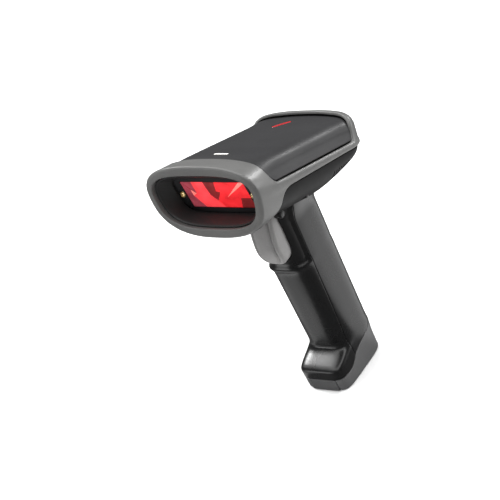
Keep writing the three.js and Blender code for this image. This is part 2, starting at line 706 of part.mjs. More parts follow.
// One ring of the grip's outer surface at height z, drawn in by inset. Its front is squarer than
// its back at the foot, and both round off above it.
function gripRing(z, inset) {
  const front = gripFront(z) + inset;
  const back = gripBack(z) - inset;
  const middle = (front + back) / 2;
  const halfWidth = gripHalfWidth(z) - inset;
  const frontPower = 7 - 3.8 * ramp(z, 13, 24);
  const backPower = 4.2 - 1 * ramp(z, 13, 24);
  const rear = superellipse(halfWidth, (back - front) / 2, backPower, 0, 24);
  return superellipse(halfWidth, (back - front) / 2, frontPower, 0, 24)
    .map((point, k) => (point[1] > 0 ? rear[k] : point))
    .map(([u, v]) => new THREE.Vector3(u, middle + v, z));
}

const FOOT_EDGE = 1.1;           // chamfer round the foot's base
const FOOT_FLOOR = 2.4;          // thickness of the foot's floor
const GRIP_STATIONS = [
  8, 13.2, 15.2, 17.2, 19, 21.5, 40, 60, 74, 77, 78.6, 80.4, 84, 103, 108, 113, GRIP_TOP,
];
const HOLLOW_STATIONS = [FOOT_FLOOR, 8, 13, 18, 21.5, 40, 76, 103, 112, GRIP_TOP + 5];

function gripBlank() {
  const rings = GRIP_STATIONS.map((z) => gripRing(z, 0));
  return solid(loft([gripRing(0, FOOT_EDGE), gripRing(FOOT_EDGE, 0), ...rings]));
}

function gripHollow() {
  return solid(loft(HOLLOW_STATIONS.map((z) => gripRing(z, WALL))));
}

// Side outline (y, z) of everything above the foot cap: the seam climbs towards the heel.
function aboveCap(margin) {
  const shape = new THREE.Shape();
  shape.moveTo(-40, CAP_FRONT_HEIGHT - margin);
  shape.lineTo(-17, CAP_FRONT_HEIGHT - margin);
  shape.quadraticCurveTo(-13, CAP_FRONT_HEIGHT - margin, -8, 12.6 - margin);
  shape.quadraticCurveTo(-2, 15.2 - margin, 20, CAP_REAR_HEIGHT + 0.4 - margin);
  shape.lineTo(40, CAP_REAR_HEIGHT + 1 - margin);
  shape.lineTo(40, 200);
  shape.lineTo(-40, 200);
  return shape;
}

// The head's outer surface in the grip's frame, dropped by a clearance to cut the grip's top.
const HEAD_CLEARANCE = GAP + 0.1;
function headInPlace() {
  const geometry = headBlank();
  geometry.rotateX(-HEAD_TILT);
  return solid(geometry.translate(0, 0, HEAD_HEIGHT - HEAD_CLEARANCE));
}

const GRIP_SCREW_Z = 78.6;
const GRIP_SCREW_SEAT = 13.4;
const BASE_SCREW_X = [8.2, -8.2];
const BASE_SCREW_Y = 8.4;
const BASE_SCREW_SEAT = 2.4;
const NECK_SCREW_X = [11.5, -11.5];
const NECK_SCREW_Y = 10;
const NECK_SCREW_SEAT = -11.5;

function gripShell() {
  const blank = gripBlank().intersect(alongX(aboveCap(-GAP), -30, 30));
  return cutAll(blank, [gripHollow(), headInPlace()]);
}

function triggerSlot() {
  const halfWidth = TRIGGER_HALF_WIDTH + 0.6;
  return span([-halfWidth, -40, TRIGGER_BOTTOM - 1.6], [halfWidth, SPLIT_Y + 1, 140]);
}

// A point of the head group in the grip's frame.
function fromHead(x, y, z) {
  const point = new THREE.Vector3(x, y, z).applyAxisAngle(new THREE.Vector3(1, 0, 0), -HEAD_TILT);
  return [point.x, point.y, point.z + HEAD_HEIGHT];
}

function gripFrontShell() {
  const half = gripShell().intersect(span([-30, -60, 0], [30, SPLIT_Y - GAP / 2, 200]));
  const post = bar([0, SPLIT_Y - 8, GRIP_SCREW_Z], [0, SPLIT_Y + 5, GRIP_SCREW_Z], 2.6);
  const { y, z } = TRIGGER_PIVOT;
  const lugs = [-1, 1].map((side) => box(side * 10.9, y + 0.6, z - 2, 3, 8, 8));
  const inside = gripBlank().subtract(headInPlace());
  const added = [post, ...lugs].map((piece) => piece.intersect(inside));
  const body = joinAll([half.subtract(triggerSlot()), ...added]);
  const bore = bar([0, SPLIT_Y - 4, GRIP_SCREW_Z], [0, 10, GRIP_SCREW_Z], SCREW_BORE, 10);
  const pinBore = bar([-12.6, y, z], [12.6, y, z], 1.8);
  return cutAll(body, [bore, pinBore]);
}

// Round bar square to the head, on the axis of a neck screw.
function neckBar(x, top, bottom, radius) {
  return bar(fromHead(x, NECK_SCREW_Y, top), fromHead(x, NECK_SCREW_Y, bottom), radius);
}

function gripRearShell() {
  const half = gripShell().intersect(span([-30, SPLIT_Y + GAP / 2, 0], [30, 60, 200]));
  const inside = gripBlank().subtract(headInPlace());
  const posts = [
    bar([0, SPLIT_Y + 5 + GAP, GRIP_SCREW_Z], [0, 17, GRIP_SCREW_Z], 3.2),
    ...BASE_SCREW_X.map((x) => bar([x, BASE_SCREW_Y, 9.3], [x, BASE_SCREW_Y, 19.8], 2.6)),
    ...BASE_SCREW_X.map((x) => box(x + Math.sign(x) * 2.8, BASE_SCREW_Y, 18.9, 4, 3, 1.8)),
    ...NECK_SCREW_X.map((x) => neckBar(x, -12, -26, 3)),
    ...[-7, 7].map((x) => bar([x, SWITCH_BOARD_BACK + GAP, 96], [x, 17, 96], 1.8, 10)),
  ].map((post) => post.intersect(inside));
  const bores = [
    bar([0, GRIP_SCREW_SEAT, GRIP_SCREW_Z], [0, 30, GRIP_SCREW_Z], SCREW_HEAD_ROOM),
    bar([0, -20, GRIP_SCREW_Z], [0, 30, GRIP_SCREW_Z], SCREW_BORE, 10),
    ...BASE_SCREW_X.map((x) => bar([x, BASE_SCREW_Y, 0], [x, BASE_SCREW_Y, 17.5], SCREW_BORE, 10)),
    ...NECK_SCREW_X.map((x) => neckBar(x, 0, -24.5, SCREW_BORE)),
  ];
  return cutAll(joinAll([half, ...posts]), bores);
}

// ---------------------------------------------------------------- foot
const PORT_Z = 4.2;
const PORT_HALF_HEIGHT = 2.1;
const PORT_HALF_WIDTH = 6.2;
const FLAP_SEAT = FOOT_FRONT + 1;
const SOCKET_FACE = FOOT_FRONT + 6;
const CHARGE_BOARD_Z = 6.4;
const BOARD_PADS = [[8.6, -6], [-8.6, -6]];

function baseCap() {
  const skirt = cutAll(gripBlank(), [gripHollow(), alongX(aboveCap(0), -30, 30)]);
  const flapSeat = span([-FLAP_HALF_WIDTH - 0.4, -40, -1], [FLAP_HALF_WIDTH + 0.4, FLAP_SEAT, 20]);
  const wall = span(
    [-FLAP_HALF_WIDTH - 1, FLAP_SEAT, 1.2], [FLAP_HALF_WIDTH + 1, FLAP_SEAT + 1.8, CAP_FRONT_HEIGHT]);
  const portHole = span([-PORT_HALF_WIDTH, -30, PORT_Z - PORT_HALF_HEIGHT],
    [PORT_HALF_WIDTH, SOCKET_FACE, PORT_Z + PORT_HALF_HEIGHT]);
  const { y: pinY, z: pinZ } = FLAP_PIVOT;
  const pinBore = bar([-10.9, pinY, pinZ], [10.9, pinY, pinZ], 0.8, 10);
  const posts = BASE_SCREW_X.map((x) => bar([x, BASE_SCREW_Y, 1], [x, BASE_SCREW_Y, 9], 2.9));
  const pads = BOARD_PADS.map(([x, y]) => bar([x, y, 1], [x, y, CHARGE_BOARD_Z - GAP], 1.8, 10));
  const seats = BASE_SCREW_X.map((x) => bar([x, BASE_SCREW_Y, -3], [x, BASE_SCREW_Y, BASE_SCREW_SEAT], 2.4));
  const bores = BASE_SCREW_X.map((x) => bar([x, BASE_SCREW_Y, -3], [x, BASE_SCREW_Y, 20], SCREW_BORE, 10));
  const body = joinAll([skirt.subtract(flapSeat), wall, ...posts, ...pads]);
  return cutAll(body, [portHole, pinBore, ...seats, ...bores]);
}

// Flap over the charging socket, in its own frame with the hinge line as origin.
function portCover() {
  const side = new THREE.Shape();
  side.moveTo(-1, 0);
  side.quadraticCurveTo(-0.9, 0.8, 0, 0.85);
  side.quadraticCurveTo(0.7, 0.8, 0.7, 0);
  side.lineTo(0.7, -6.3);
  side.lineTo(-0.6, -6.3);
  side.quadraticCurveTo(-1, -6.1, -1.05, -5.6);
  const plate = alongX(side, -FLAP_HALF_WIDTH, FLAP_HALF_WIDTH, 4);
  const bore = bar([-10, 0, 0], [10, 0, 0], 0.5, 8);
  return plate.subtract(bore);
}

function portCoverPin() {
  return bar([-10.4, 0, 0], [10.4, 0, 0], 0.44, 8);
}

function chargeBoard() {
  const outline = shapeOf([[-9, -20], [9, -20], [11, -17], [11, 3], [-11, 3], [-11, -17]]);
  return alongZ(outline, CHARGE_BOARD_Z, CHARGE_BOARD_Z + 1);
}

function chargePort() {
  const top = CHARGE_BOARD_Z - GAP;
  const shell = span([-4.5, SOCKET_FACE + GAP, top - 3.2], [4.5, SOCKET_FACE + 7.5, top]);
  const mouthCut = span([-4.1, -30, top - 2.8], [4.1, SOCKET_FACE + 6.5, top - 0.4]);
  const tongue = span([-3.2, SOCKET_FACE + 1.2, top - 1.95], [3.2, SOCKET_FACE + 7, top - 1.25]);
  return shell.subtract(mouthCut).add(tongue);
}

// ---------------------------------------------------------------- battery
function batteryCell() {
  const profile = [
    [0, 0], [8.2, 0], [CELL_RADIUS, 0.8], [CELL_RADIUS, CELL_LENGTH - 1.7], [8.2, CELL_LENGTH - 0.9],
    [3, CELL_LENGTH - 0.9], [3, CELL_LENGTH], [0, CELL_LENGTH],
  ].map(([r, h]) => new THREE.Vector2(r, h));
  return solid(new THREE.LatheGeometry(profile, 24).rotateX(Math.PI / 2));
}

function batteryCradle() {
  const low = CELL_BOTTOM - 2.6;
  const high = CELL_BOTTOM + CELL_LENGTH + 2.3;
  const outer = bar([0, CELL_Y, low], [0, CELL_Y, high], CELL_RADIUS + 1.5, 24);
  const inner = bar([0, CELL_Y, low + 1.2], [0, CELL_Y, high - 1.2], CELL_RADIUS + GAP, 24);
  return outer.subtract(inner).intersect(span([-20, CELL_Y - 1, 0], [20, 40, 100]));
}

function batteryContact(z0, dimple) {
  const plate = span([-4.5, CELL_Y - 0.6, z0], [4.5, CELL_Y + 7, z0 + 0.5]);
  const tab = span([-1.5, CELL_Y - 2.4, z0], [1.5, CELL_Y - 0.4, z0 + 0.5]);
  const bump = bar([0, CELL_Y + 1.6, z0 + 0.25], [0, CELL_Y + 1.6, z0 + 0.25 + dimple], 1.8, 12, 1.2);
  return joinAll([plate, tab, bump]);
}

// ---------------------------------------------------------------- trigger
// All of these are made about the trigger's pivot, which is the trigger group's origin.
const WEB_BACK = -1.2;

function trigger() {
  const low = TRIGGER_BOTTOM - TRIGGER_PIVOT.z;
  const side = new THREE.Shape();
  side.moveTo(-1, low);
  side.quadraticCurveTo(-6.8, low + 0.2, -8.8, low + 6);
  side.quadraticCurveTo(-10.6, low + 10.5, -10, low + 15);
  side.quadraticCurveTo(-9.2, low + 24, -5.6, 1.2);
  side.quadraticCurveTo(-3.6, 2.6, 0, 2.6);
  side.quadraticCurveTo(2.6, 2.4, 2.6, -0.4);
  side.lineTo(2.2, -4);
  side.lineTo(1.2, low + 2);
  const face = new THREE.Shape();
  face.moveTo(-TRIGGER_HALF_WIDTH, 6);
  face.lineTo(-TRIGGER_HALF_WIDTH, low + 9);
  face.bezierCurveTo(
    -TRIGGER_HALF_WIDTH, low - 2.8, TRIGGER_HALF_WIDTH, low - 2.8, TRIGGER_HALF_WIDTH, low + 9);
  face.lineTo(TRIGGER_HALF_WIDTH, 6);
  const blank = alongX(side, -10, 10, 5).intersect(alongY(face, -20, 20, 12));
  const grooveX = TRIGGER_HALF_WIDTH + 0.3;
  const sideGrooves = [-1, 1].map((hand) => box(hand * grooveX, -3.6, low / 2 - 2, 1.6, 0.9, 26));
  const hollow = span([-6.4, -6.2, low + 4.5], [6.4, 20, -4.5]);
  const webMiddle = SWITCH_Z - TRIGGER_PIVOT.z;
  const web = span([-2.2, -7.5, webMiddle - 2.4], [2.2, WEB_BACK, webMiddle + 2.4]);
  const bore = bar([-20, 0, 0], [20, 0, 0], 1.56, 14);
  return cutAll(blank, [hollow, ...sideGrooves]).add(web).subtract(bore);
}

function triggerPin() {
  return bar([-12, 0, 0], [12, 0, 0], 1.5, 14);
}

// Helix of the return spring along y.
class Helix extends THREE.Curve {
  constructor(radius, length, turns) {
    super();
    Object.assign(this, { radius, length, turns });
  }

  getPoint(t) {
    const angle = t * this.turns * 2 * Math.PI;
    return new THREE.Vector3(this.radius * Math.cos(angle), t * this.length, this.radius * Math.sin(angle));
  }
}

const SPRING_Z = 92.5;
const SWITCH_BOARD_FRONT = -4.7;
const SWITCH_BOARD_BACK = -3.5;

function triggerSpring() {
  const turns = 6;
  const length = 15.1;
  const wire = shapeOf(superellipse(0.3, 0.3, 2, 0, 5));
  const path = new Helix(2.3, length, turns);
  const coil = new THREE.ExtrudeGeometry(wire, { steps: turns * 8, extrudePath: path, bevelEnabled: false });
  return solid(coil);
}

function switchBoard() {
  return span([-10, SWITCH_BOARD_FRONT, 87], [10, SWITCH_BOARD_BACK, 109]);
}

function switchBody() {
  const body = span([-3.2, -11.6, SWITCH_Z - 3.2], [3.2, SWITCH_BOARD_FRONT - GAP, SWITCH_Z + 3.2]);
  return body.subtract(bar([0, -20, SWITCH_Z], [0, -8, SWITCH_Z], 1.7, 14));
}

function switchPlunger() {
  const tip = TRIGGER_PIVOT.y + WEB_BACK + GAP;
  return bar([0, tip, SWITCH_Z], [0, -10, SWITCH_Z], 1.3, 14);
}

function wiringLoom() {
  const route = [
    [5, -7.9, 9], [5, -7.9, 20], [5, -7.9, 45], [5, -7.9, 70], [5, -6.4, 81], [3.4, 0.4, 90], [2, 3.4, 99],
    fromHead(0, 6, -20), fromHead(-2, 2, -12), fromHead(-9, 1, -7.4),
    fromHead(-12.6, 3.2, -4.6), fromHead(-13, 4, -2.2),
  ].map((point) => new THREE.Vector3(...point));
  const path = new THREE.CatmullRomCurve3(route);
  const section = shapeOf(superellipse(1.2, 1.2, 2, 0, 6));
  return solid(new THREE.ExtrudeGeometry(section, { steps: 32, extrudePath: path, bevelEnabled: false }));
}

// ---------------------------------------------------------------- assembly
const scanner = new THREE.Group();

const head = new THREE.Group();
head.position.set(0, 0, HEAD_HEIGHT);
head.rotation.x = -HEAD_TILT;
scanner.add(head);

addPart(head, "top_cover", topCover(), finishes.charcoal);
addPart(head, "bumper_frame", bumperFrame(), finishes.bumper);
addPart(head, "lower_body", lowerBody(), finishes.blackShell);
addPart(head, "window_hood", windowHood(), finishes.liner);

addPart(head, "engine_chassis", engineChassis(), finishes.blackPlastic);
addPart(head, "engine_lid", engineLid(), finishes.steel);
addPart(head, "exit_window", exitWindow(), finishes.redGlass);
addPart(head, "mirror_pin", mirrorPin(), finishes.steel);
addPart(head, "drive_coil", driveCoil(), finishes.copper);
addPart(head, "coil_yoke", coilYoke(), finishes.steel);
addPart(head, "collector_mirror", collectorMirror(), finishes.mirror);
addPart(head, "laser_module", laserModule(), finishes.brass);
addPart(head, "laser_clamp", laserClamp(), finishes.blackPlastic);
addPart(head, "photodiode", photodiode(), finishes.chip);

const swing = new THREE.Group();
swing.position.set(0, MIRROR_Y, 0);
head.add(swing);
addPart(swing, "scan_mirror", scanMirror(), finishes.mirror);
addPart(swing, "mirror_magnet", mirrorMagnet(), finishes.magnet);

addPart(head, "main_board", mainBoard(), finishes.board);
addPart(head, "processor_chip", processorChip(), finishes.chip);
addPart(head, "radio_module", radioModule(), finishes.steel);
addPart(head, "board_socket", boardSocket(), finishes.rubber);
addPart(head, "beeper", beeper(), finishes.chip);
addPart(head, "status_led", statusLed(), finishes.clear);
addPart(head, "status_light_pipe", lightPipe(), finishes.clear);

COVER_BOSSES.forEach(([x, y], k) => {
  addScrew(head, `cover_screw_${k + 1}`, [x, y, COVER_SCREW_SEAT - GAP], [0, 0, 1], CASE_SCREW, 10);
});

[["engine_screw_left", ENGINE_SCREW_X], ["engine_screw_right", -ENGINE_SCREW_X]].forEach(([name, x]) => {
  addScrew(head, name, [x, ENGINE_SCREW_SEAT - GAP, ENGINE_SCREW_Z], [0, 1, 0], ENGINE_SCREW, 8);
});

[["board_screw_front", BOARD_POSTS[0]], ["board_screw_rear", BOARD_POSTS[3]]].forEach(([name, [x, y]]) => {
  addScrew(head, name, [x, y, BOARD_TOP], [0, 0, -1], BOARD_SCREW, 6);
});

[["neck_screw_left", NECK_SCREW_X[0]], ["neck_screw_right", NECK_SCREW_X[1]]].forEach(([name, x]) => {
  addScrew(head, name, [x, NECK_SCREW_Y, NECK_SCREW_SEAT + GAP], [0, 0, -1], CASE_SCREW, 9);
});

addPart(scanner, "grip_front_shell", gripFrontShell(), finishes.blackShell);
addPart(scanner, "grip_rear_shell", gripRearShell(), finishes.blackShell);
addPart(scanner, "base_cap", baseCap(), finishes.capGrey);
addScrew(scanner, "grip_screw", [0, GRIP_SCREW_SEAT + GAP, GRIP_SCREW_Z], [0, -1, 0], CASE_SCREW, 21);
[["base_screw_left", BASE_SCREW_X[0]], ["base_screw_right", BASE_SCREW_X[1]]].forEach(([name, x]) => {
  addScrew(scanner, name, [x, BASE_SCREW_Y, BASE_SCREW_SEAT - GAP], [0, 0, 1], BASE_SCREW, 14);
});

const flap = new THREE.Group();
flap.position.set(0, FLAP_PIVOT.y, FLAP_PIVOT.z);
scanner.add(flap);
addPart(flap, "port_cover", portCover(), finishes.rubber);
addPart(flap, "port_cover_pin", portCoverPin(), finishes.steel);
addPart(scanner, "charge_board", chargeBoard(), finishes.board);
addPart(scanner, "charge_port", chargePort(), finishes.steel);

const cell = addPart(scanner, "battery_cell", batteryCell(), finishes.cellWrap);
cell.position.set(0, CELL_Y, CELL_BOTTOM);
addPart(scanner, "battery_cradle", batteryCradle(), finishes.blackPlastic);
addPart(scanner, "battery_contact_lower", batteryContact(CELL_BOTTOM - 1.1, 0.5), finishes.brass);
const cellTop = CELL_BOTTOM + CELL_LENGTH;
addPart(scanner, "battery_contact_upper", batteryContact(cellTop + GAP, 0.3), finishes.brass);

const pull = new THREE.Group();
pull.position.set(0, TRIGGER_PIVOT.y, TRIGGER_PIVOT.z);
scanner.add(pull);
addPart(pull, "trigger", trigger(), finishes.triggerGrey);
addPart(pull, "trigger_pin", triggerPin(), finishes.steel);
const spring = addPart(scanner, "trigger_spring", triggerSpring(), finishes.steel);
spring.position.set(0, -20.3, SPRING_Z);
addPart(scanner, "switch_board", switchBoard(), finishes.board);
addPart(scanner, "switch_body", switchBody(), finishes.chip);
addPart(scanner, "switch_plunger", switchPlunger(), finishes.triggerGrey);
addPart(scanner, "wiring_loom", wiringLoom(), finishes.rubber);

export default scanner;
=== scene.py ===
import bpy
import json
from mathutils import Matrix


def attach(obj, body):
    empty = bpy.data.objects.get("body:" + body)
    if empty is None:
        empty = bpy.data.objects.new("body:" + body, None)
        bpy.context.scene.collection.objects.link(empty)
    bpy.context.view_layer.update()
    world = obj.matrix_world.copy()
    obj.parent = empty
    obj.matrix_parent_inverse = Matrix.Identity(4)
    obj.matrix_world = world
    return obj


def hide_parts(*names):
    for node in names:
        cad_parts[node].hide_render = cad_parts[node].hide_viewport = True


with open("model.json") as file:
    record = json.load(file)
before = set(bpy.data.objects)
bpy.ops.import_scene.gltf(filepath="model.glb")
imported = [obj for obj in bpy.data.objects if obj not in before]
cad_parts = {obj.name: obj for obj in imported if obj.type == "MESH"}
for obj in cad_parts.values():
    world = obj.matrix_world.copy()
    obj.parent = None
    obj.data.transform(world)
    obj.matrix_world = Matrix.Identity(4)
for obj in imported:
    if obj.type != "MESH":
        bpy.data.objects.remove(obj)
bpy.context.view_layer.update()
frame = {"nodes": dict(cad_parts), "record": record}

import json
import math

import bpy
import numpy as np
from mathutils import Matrix, Vector

# Handheld barcode scanner. Shapes are worked out in millimetres: those of the head in the head's
# own frame, which is tilted back on top of the grip, and the others in the row frame.
MM = 0.001
HEAD_TILT = math.radians(18.8)
HEAD_HEIGHT = 128.1
HEAD_FRAME = Matrix.Translation((0, 0, HEAD_HEIGHT)) @ Matrix.Rotation(-HEAD_TILT, 4, "X")
ROW_FRAME = Matrix.Identity(4)

GAP = 0.3                # free space at a seam
SEAM_RADIUS = 0.45       # rounding of a shell's edge at a seam
SHELL = 1.6              # thickness of a shell

HALF_WIDTH = 35
TOP = 20
BOTTOM = -15
REAR = 50.7
TAIL_START = 29          # from here back the plan is rounded
TAIL_CHANGE = (22, 44)   # where the broad shoulder turns into the tail's tight one
TAIL_POWER = 2.6
SIDE_SHARE = 0.985       # width at the rail's edges, as a share of the half width
BELLY_POWER = 2.6
PROUD = 0.9              # how far the bumper stands out from the other shells
RIM_RISE = 1.7           # how far the rear rim stands above the cover
RAIL_TOP = 8.4
BUMPER_EDGE = 1.2        # rounding of the bumper's edges at its seams

LIP_FRONT = -54.0
LIP_Z = 2
LIP_LEAN = math.tan(math.radians(13))
LIP_HALF = (35, 20)
LIP_POWER = 2.6
LIP_TAPER = 0.085
LIP_DRAW_IN = 24         # lip radius by which an inset scales the collar
LIP_RADIUS = 1.8
LIP_INNER_RADIUS = 0.6
COLLAR_START = -50       # up to here the lip's outline holds
COLLAR_REAR = -38.5      # from here back the head's own section sets the outline
COLLAR_FADE = -28        # where the collar's outline has turned fully into the head's
COVER_FRONT = -42.5      # front edge of the top cover
LEAN_FADE = (-51, -34)   # where the lip's lean dies out
MOUTH_HALF = (32, 15.2)
MOUTH_POWER = 3.1

WINDOW_LEAN = math.tan(math.radians(26))
WINDOW_Y = -42.6
WINDOW_Z = 2.6
WINDOW_HALF = (20.5, 7.8)
THROAT_HALF = (25.6, 11.2)

COVER_SCREWS = ((26.5, -8), (-26.5, -8), (22, 27), (-22, 27))
VENTS = 7
VENT_START = 14
VENT_PITCH = 2.3

GRIP_HALF_WIDTH = 14.3
SPLIT_Y = -9
FOOT_FRONT = -25.4
TOE_HEIGHT = 13.2
TRIGGER_PIVOT = (-15, 114.5)
TRIGGER_HALF_WIDTH = 8.2
TRIGGER_LOW = 83
FLAP_PIVOT = (-25.4, 6.9)
FLAP_HALF_WIDTH = 8.8
GRIP_SCREW_Z = 78.6
BASE_SCREWS = (8.2, 8.4)


# ---------------------------------------------------------------- curves
def smooth(value):
    return value * value * (3 - 2 * value)


def ramp(value, start, end):
    return smooth(np.clip((value - start) / (end - start), 0, 1))


def lerp(a, b, t):
    return a + (b - a) * t


def bend(t, start, control, end):
    """Point of a quadratic curve."""
    return (1 - t) ** 2 * start + 2 * t * (1 - t) * control + t * t * end


def outline(start, *pieces):
    """Points of an outline of straight pieces (end) and curved ones (control, end)."""
    points = [np.array(start, float)]
    for piece in pieces:
        if len(piece) == 1:
            points.append(np.array(piece[0], float))
            continue
        control, end = (np.array(p, float) for p in piece)
        first = points[-1]
        points += [bend(t, first, control, end) for t in np.linspace(0, 1, 13)[1:]]
    return np.array(points)


def inside_distance(points, polygon):
    """Distance of each 2-D point from a closed outline, positive inside it."""
    nearest = np.full(len(points), 1e9)
    inside = np.zeros(len(points), bool)
    for a, b in zip(polygon, np.roll(polygon, -1, axis=0)):
        edge = b - a
        along = np.clip((points - a) @ edge / max(edge @ edge, 1e-12), 0, 1)
        gap = points - a - along[:, None] * edge
        nearest = np.minimum(nearest, np.hypot(gap[:, 0], gap[:, 1]))
        crosses = (a[1] > points[:, 1]) != (b[1] > points[:, 1])
        with np.errstate(divide="ignore", invalid="ignore"):
            reach = a[0] + (points[:, 1] - a[1]) * edge[0] / edge[1]
        inside ^= crosses & (points[:, 0] < reach)
    return np.where(inside, nearest, -nearest)


def superellipse(direction, half, power):
    """Points of a superellipse in the given directions, shape (n, 2)."""
    u = direction[:, 0] / half[0]
    v = direction[:, 1] / half[1]
    reach = (np.abs(u) ** power + np.abs(v) ** power + 1e-12) ** (-1 / power)
    return direction * reach[:, None]


def directions(count):
    angle = np.arange(count) / count * 2 * math.pi
    return np.stack([np.cos(angle), np.sin(angle)], 1)


# ---------------------------------------------------------------- surfaces
# A surface is an array of points and a list of faces, each a list of point numbers.
def grid(rings, closed=False):
    """Surface through a row of equal lists of points. With closed, each list joins its own end."""
    rings = np.array(rings, float)
    rows, columns = rings.shape[:2]
    faces = []
    for i in range(rows - 1):
        for j in range(columns if closed else columns - 1):
            k = (j + 1) % columns
            faces.append([i * columns + j, i * columns + k, (i + 1) * columns + k, (i + 1) * columns + j])
    return weld(rings.reshape(-1, 3), faces)


def weld(points, faces):
    """Joins points at the same place and drops faces that fold to nothing."""
    _, first, number = np.unique(np.round(points[:, :3], 4), axis=0, return_index=True, return_inverse=True)
    number = number.reshape(-1)
    kept = []
    for face in faces:
        face = [int(number[i]) for i in face]
        face = [i for i, before in zip(face, face[-1:] + face[:-1]) if i != before]
        if len(set(face)) > 2:
            kept.append(face)
    return points[first], kept


def split(points, faces, column, level, keep_low):
    """Cuts the faces where a column of the points equals level, and may drop what lies below."""
    value = points[:, column] - level
    value = np.where(np.abs(value) < 0.03, 0, value).tolist()
    added = []
    at_edge = {}

    def crossing(a, b):
        key = (min(a, b), max(a, b))
        if key not in at_edge:
            a, b = key
            share = value[a] / (value[a] - value[b])
            at_edge[key] = len(points) + len(added)
            added.append(points[a] + (points[b] - points[a]) * share)
        return at_edge[key]

    result = []
    for face in faces:
        values = [value[i] for i in face]
        if min(values) >= 0:
            result.append(face)
            continue
        if max(values) <= 0:
            if keep_low:
                result.append(face)
            continue
        high, low = [], []
        for a, b in zip(face, face[1:] + face[:1]):
            if value[a] >= 0:
                high.append(a)
            if value[a] <= 0:
                low.append(a)
            if value[a] * value[b] < 0:
                point = crossing(a, b)
                high.append(point)
                low.append(point)
        if len(high) > 2:
            result.append(high)
        if keep_low and len(low) > 2:
            result.append(low)
    return (np.vstack([points, added]) if added else points), result


def point_normals(points, faces):
    normals = np.zeros((len(points), 3))
    for face in faces:
        corner = points[face, :3]
        following = np.roll(corner, -1, axis=0)
        area = np.cross(corner, following).sum(0)
        normals[face] += area
    return normals / np.maximum(np.linalg.norm(normals, axis=1), 1e-12)[:, None]


def trimmed(points, faces, field, radius):
    """Keeps the part where field is positive, with extra points for a rounded edge."""
    points = np.column_stack([points, field])
    points, faces = split(points, faces, 3, 0, False)
    for share in (0.12, 0.35, 0.65, 1):
        points, faces = split(points, faces, 3, share * radius, True)
    used = np.unique(np.concatenate([np.array(face) for face in faces]))
    number = np.full(len(points), -1)
    number[used] = np.arange(len(used))
    return weld(points[used], [[int(number[i]) for i in face] for face in faces])


def rolled(points, normals, radius):
    """Points moved inward near the trimmed edge, to round it."""
    left = np.clip(radius - points[:, 3], 0, radius)
    depth = radius - np.sqrt(np.maximum(radius ** 2 - left ** 2, 0))
    return points[:, :3] - normals * depth[:, None]


def closed(outer, inner, faces):
    """Solid between two copies of an open surface."""
    count = len(outer)
    sides = {}
    for face in faces:
        for a, b in zip(face, face[1:] + face[:1]):
            sides[(a, b)] = True
    walls = [[b, a, a + count, b + count] for a, b in sides if (b, a) not in sides]
    backs = [[i + count for i in reversed(face)] for face in faces]
    return np.vstack([outer, inner]), faces + backs + walls


def shell(points, faces, field, radius=SEAM_RADIUS, thickness=SHELL):
    """Moulded shell: a surface trimmed by a field, with rounded edges and an inside."""
    points, faces = trimmed(points, faces, field, radius)
    normals = point_normals(points, faces)
    return closed(rolled(points, normals, radius), points[:, :3] - normals * thickness, faces)


def plate(polygon, front, back, radius, step=0.5):
    """Solid whose outline is a polygon in (a, b). front and back turn (a, b) and the distance from
    the outline into points."""
    low = polygon.min(0)
    high = polygon.max(0)
    counts = np.maximum(((high - low) / step).astype(int), 2)
    a = np.linspace(low[0], high[0], counts[0] + 1)
    b = np.linspace(low[1], high[1], counts[1] + 1)
    points, faces = grid([[(u, v, 0) for u in a] for v in b])
    points, faces = trimmed(points, faces, inside_distance(points[:, :2], polygon), radius)
    left = np.clip(radius - points[:, 3], 0, radius)
    drop = radius - np.sqrt(np.maximum(radius ** 2 - left ** 2, 0))
    flat = points[:, :2]
    return closed(front(flat, points[:, 3], drop), back(flat), faces)


# ---------------------------------------------------------------- objects
HOUSING = "housing"


def make(name, surface, place=ROW_FRAME, sharp=38):
    """Mesh object from a surface in millimetres."""
    points, faces = surface
    mesh = bpy.data.meshes.new(name)
    mesh.from_pydata([Vector(p[:3]) * MM for p in points.tolist()], [], faces)
    placed = place.copy()
    placed.translation *= MM
    mesh.transform(placed)
    mesh.validate()
    mesh.shade_smooth()
    mesh.set_sharp_from_angle(angle=math.radians(sharp))
    piece = bpy.data.objects.new(name, mesh)
    bpy.context.scene.collection.objects.link(piece)
    return piece


def carve(piece, cutter, operation="DIFFERENCE", sharp=38):
    """Cuts a piece with another object, or joins it on, and drops the other object."""
    change = piece.modifiers.new(operation, "BOOLEAN")
    change.operation = operation
    change.solver = "MANIFOLD"
    change.object = cutter
    done = piece.evaluated_get(bpy.context.evaluated_depsgraph_get())
    mesh = bpy.data.meshes.new_from_object(done)
    mesh.name = piece.name
    piece.modifiers.clear()
    piece.data = mesh
    mesh.shade_smooth()
    mesh.set_sharp_from_angle(angle=math.radians(sharp))
    bpy.data.objects.remove(cutter)
    return piece


def merge(surfaces):
    """Several surfaces as one."""
    points, faces, count = [], [], 0
    for some_points, some_faces in surfaces:
        points.append(np.array(some_points)[:, :3])
        faces += [[i + count for i in face] for face in some_faces]
        count += len(some_points)
    return np.vstack(points), faces


def block(low, high):
    """Rectangular body between two corners."""
    corners = [[(low, high)[(k >> axis) & 1][axis] for axis in range(3)] for k in range(8)]
    faces = [[0, 2, 3, 1], [4, 5, 7, 6], [0, 1, 5, 4], [2, 6, 7, 3], [0, 4, 6, 2], [1, 3, 7, 5]]
    return np.array(corners, float), faces


def turned(profile, sides=36):
    """Body turned about Z from (radius, height) points."""
    ring = directions(sides)
    rings = [[(u * r, v * r, h) for u, v in ring] for r, h in profile]
    return grid(rings, closed=True)


def moved(surface, matrix):
    points, faces = surface
    matrix = np.array(matrix)
    return points[:, :3] @ matrix[:3, :3].T + matrix[:3, 3], faces


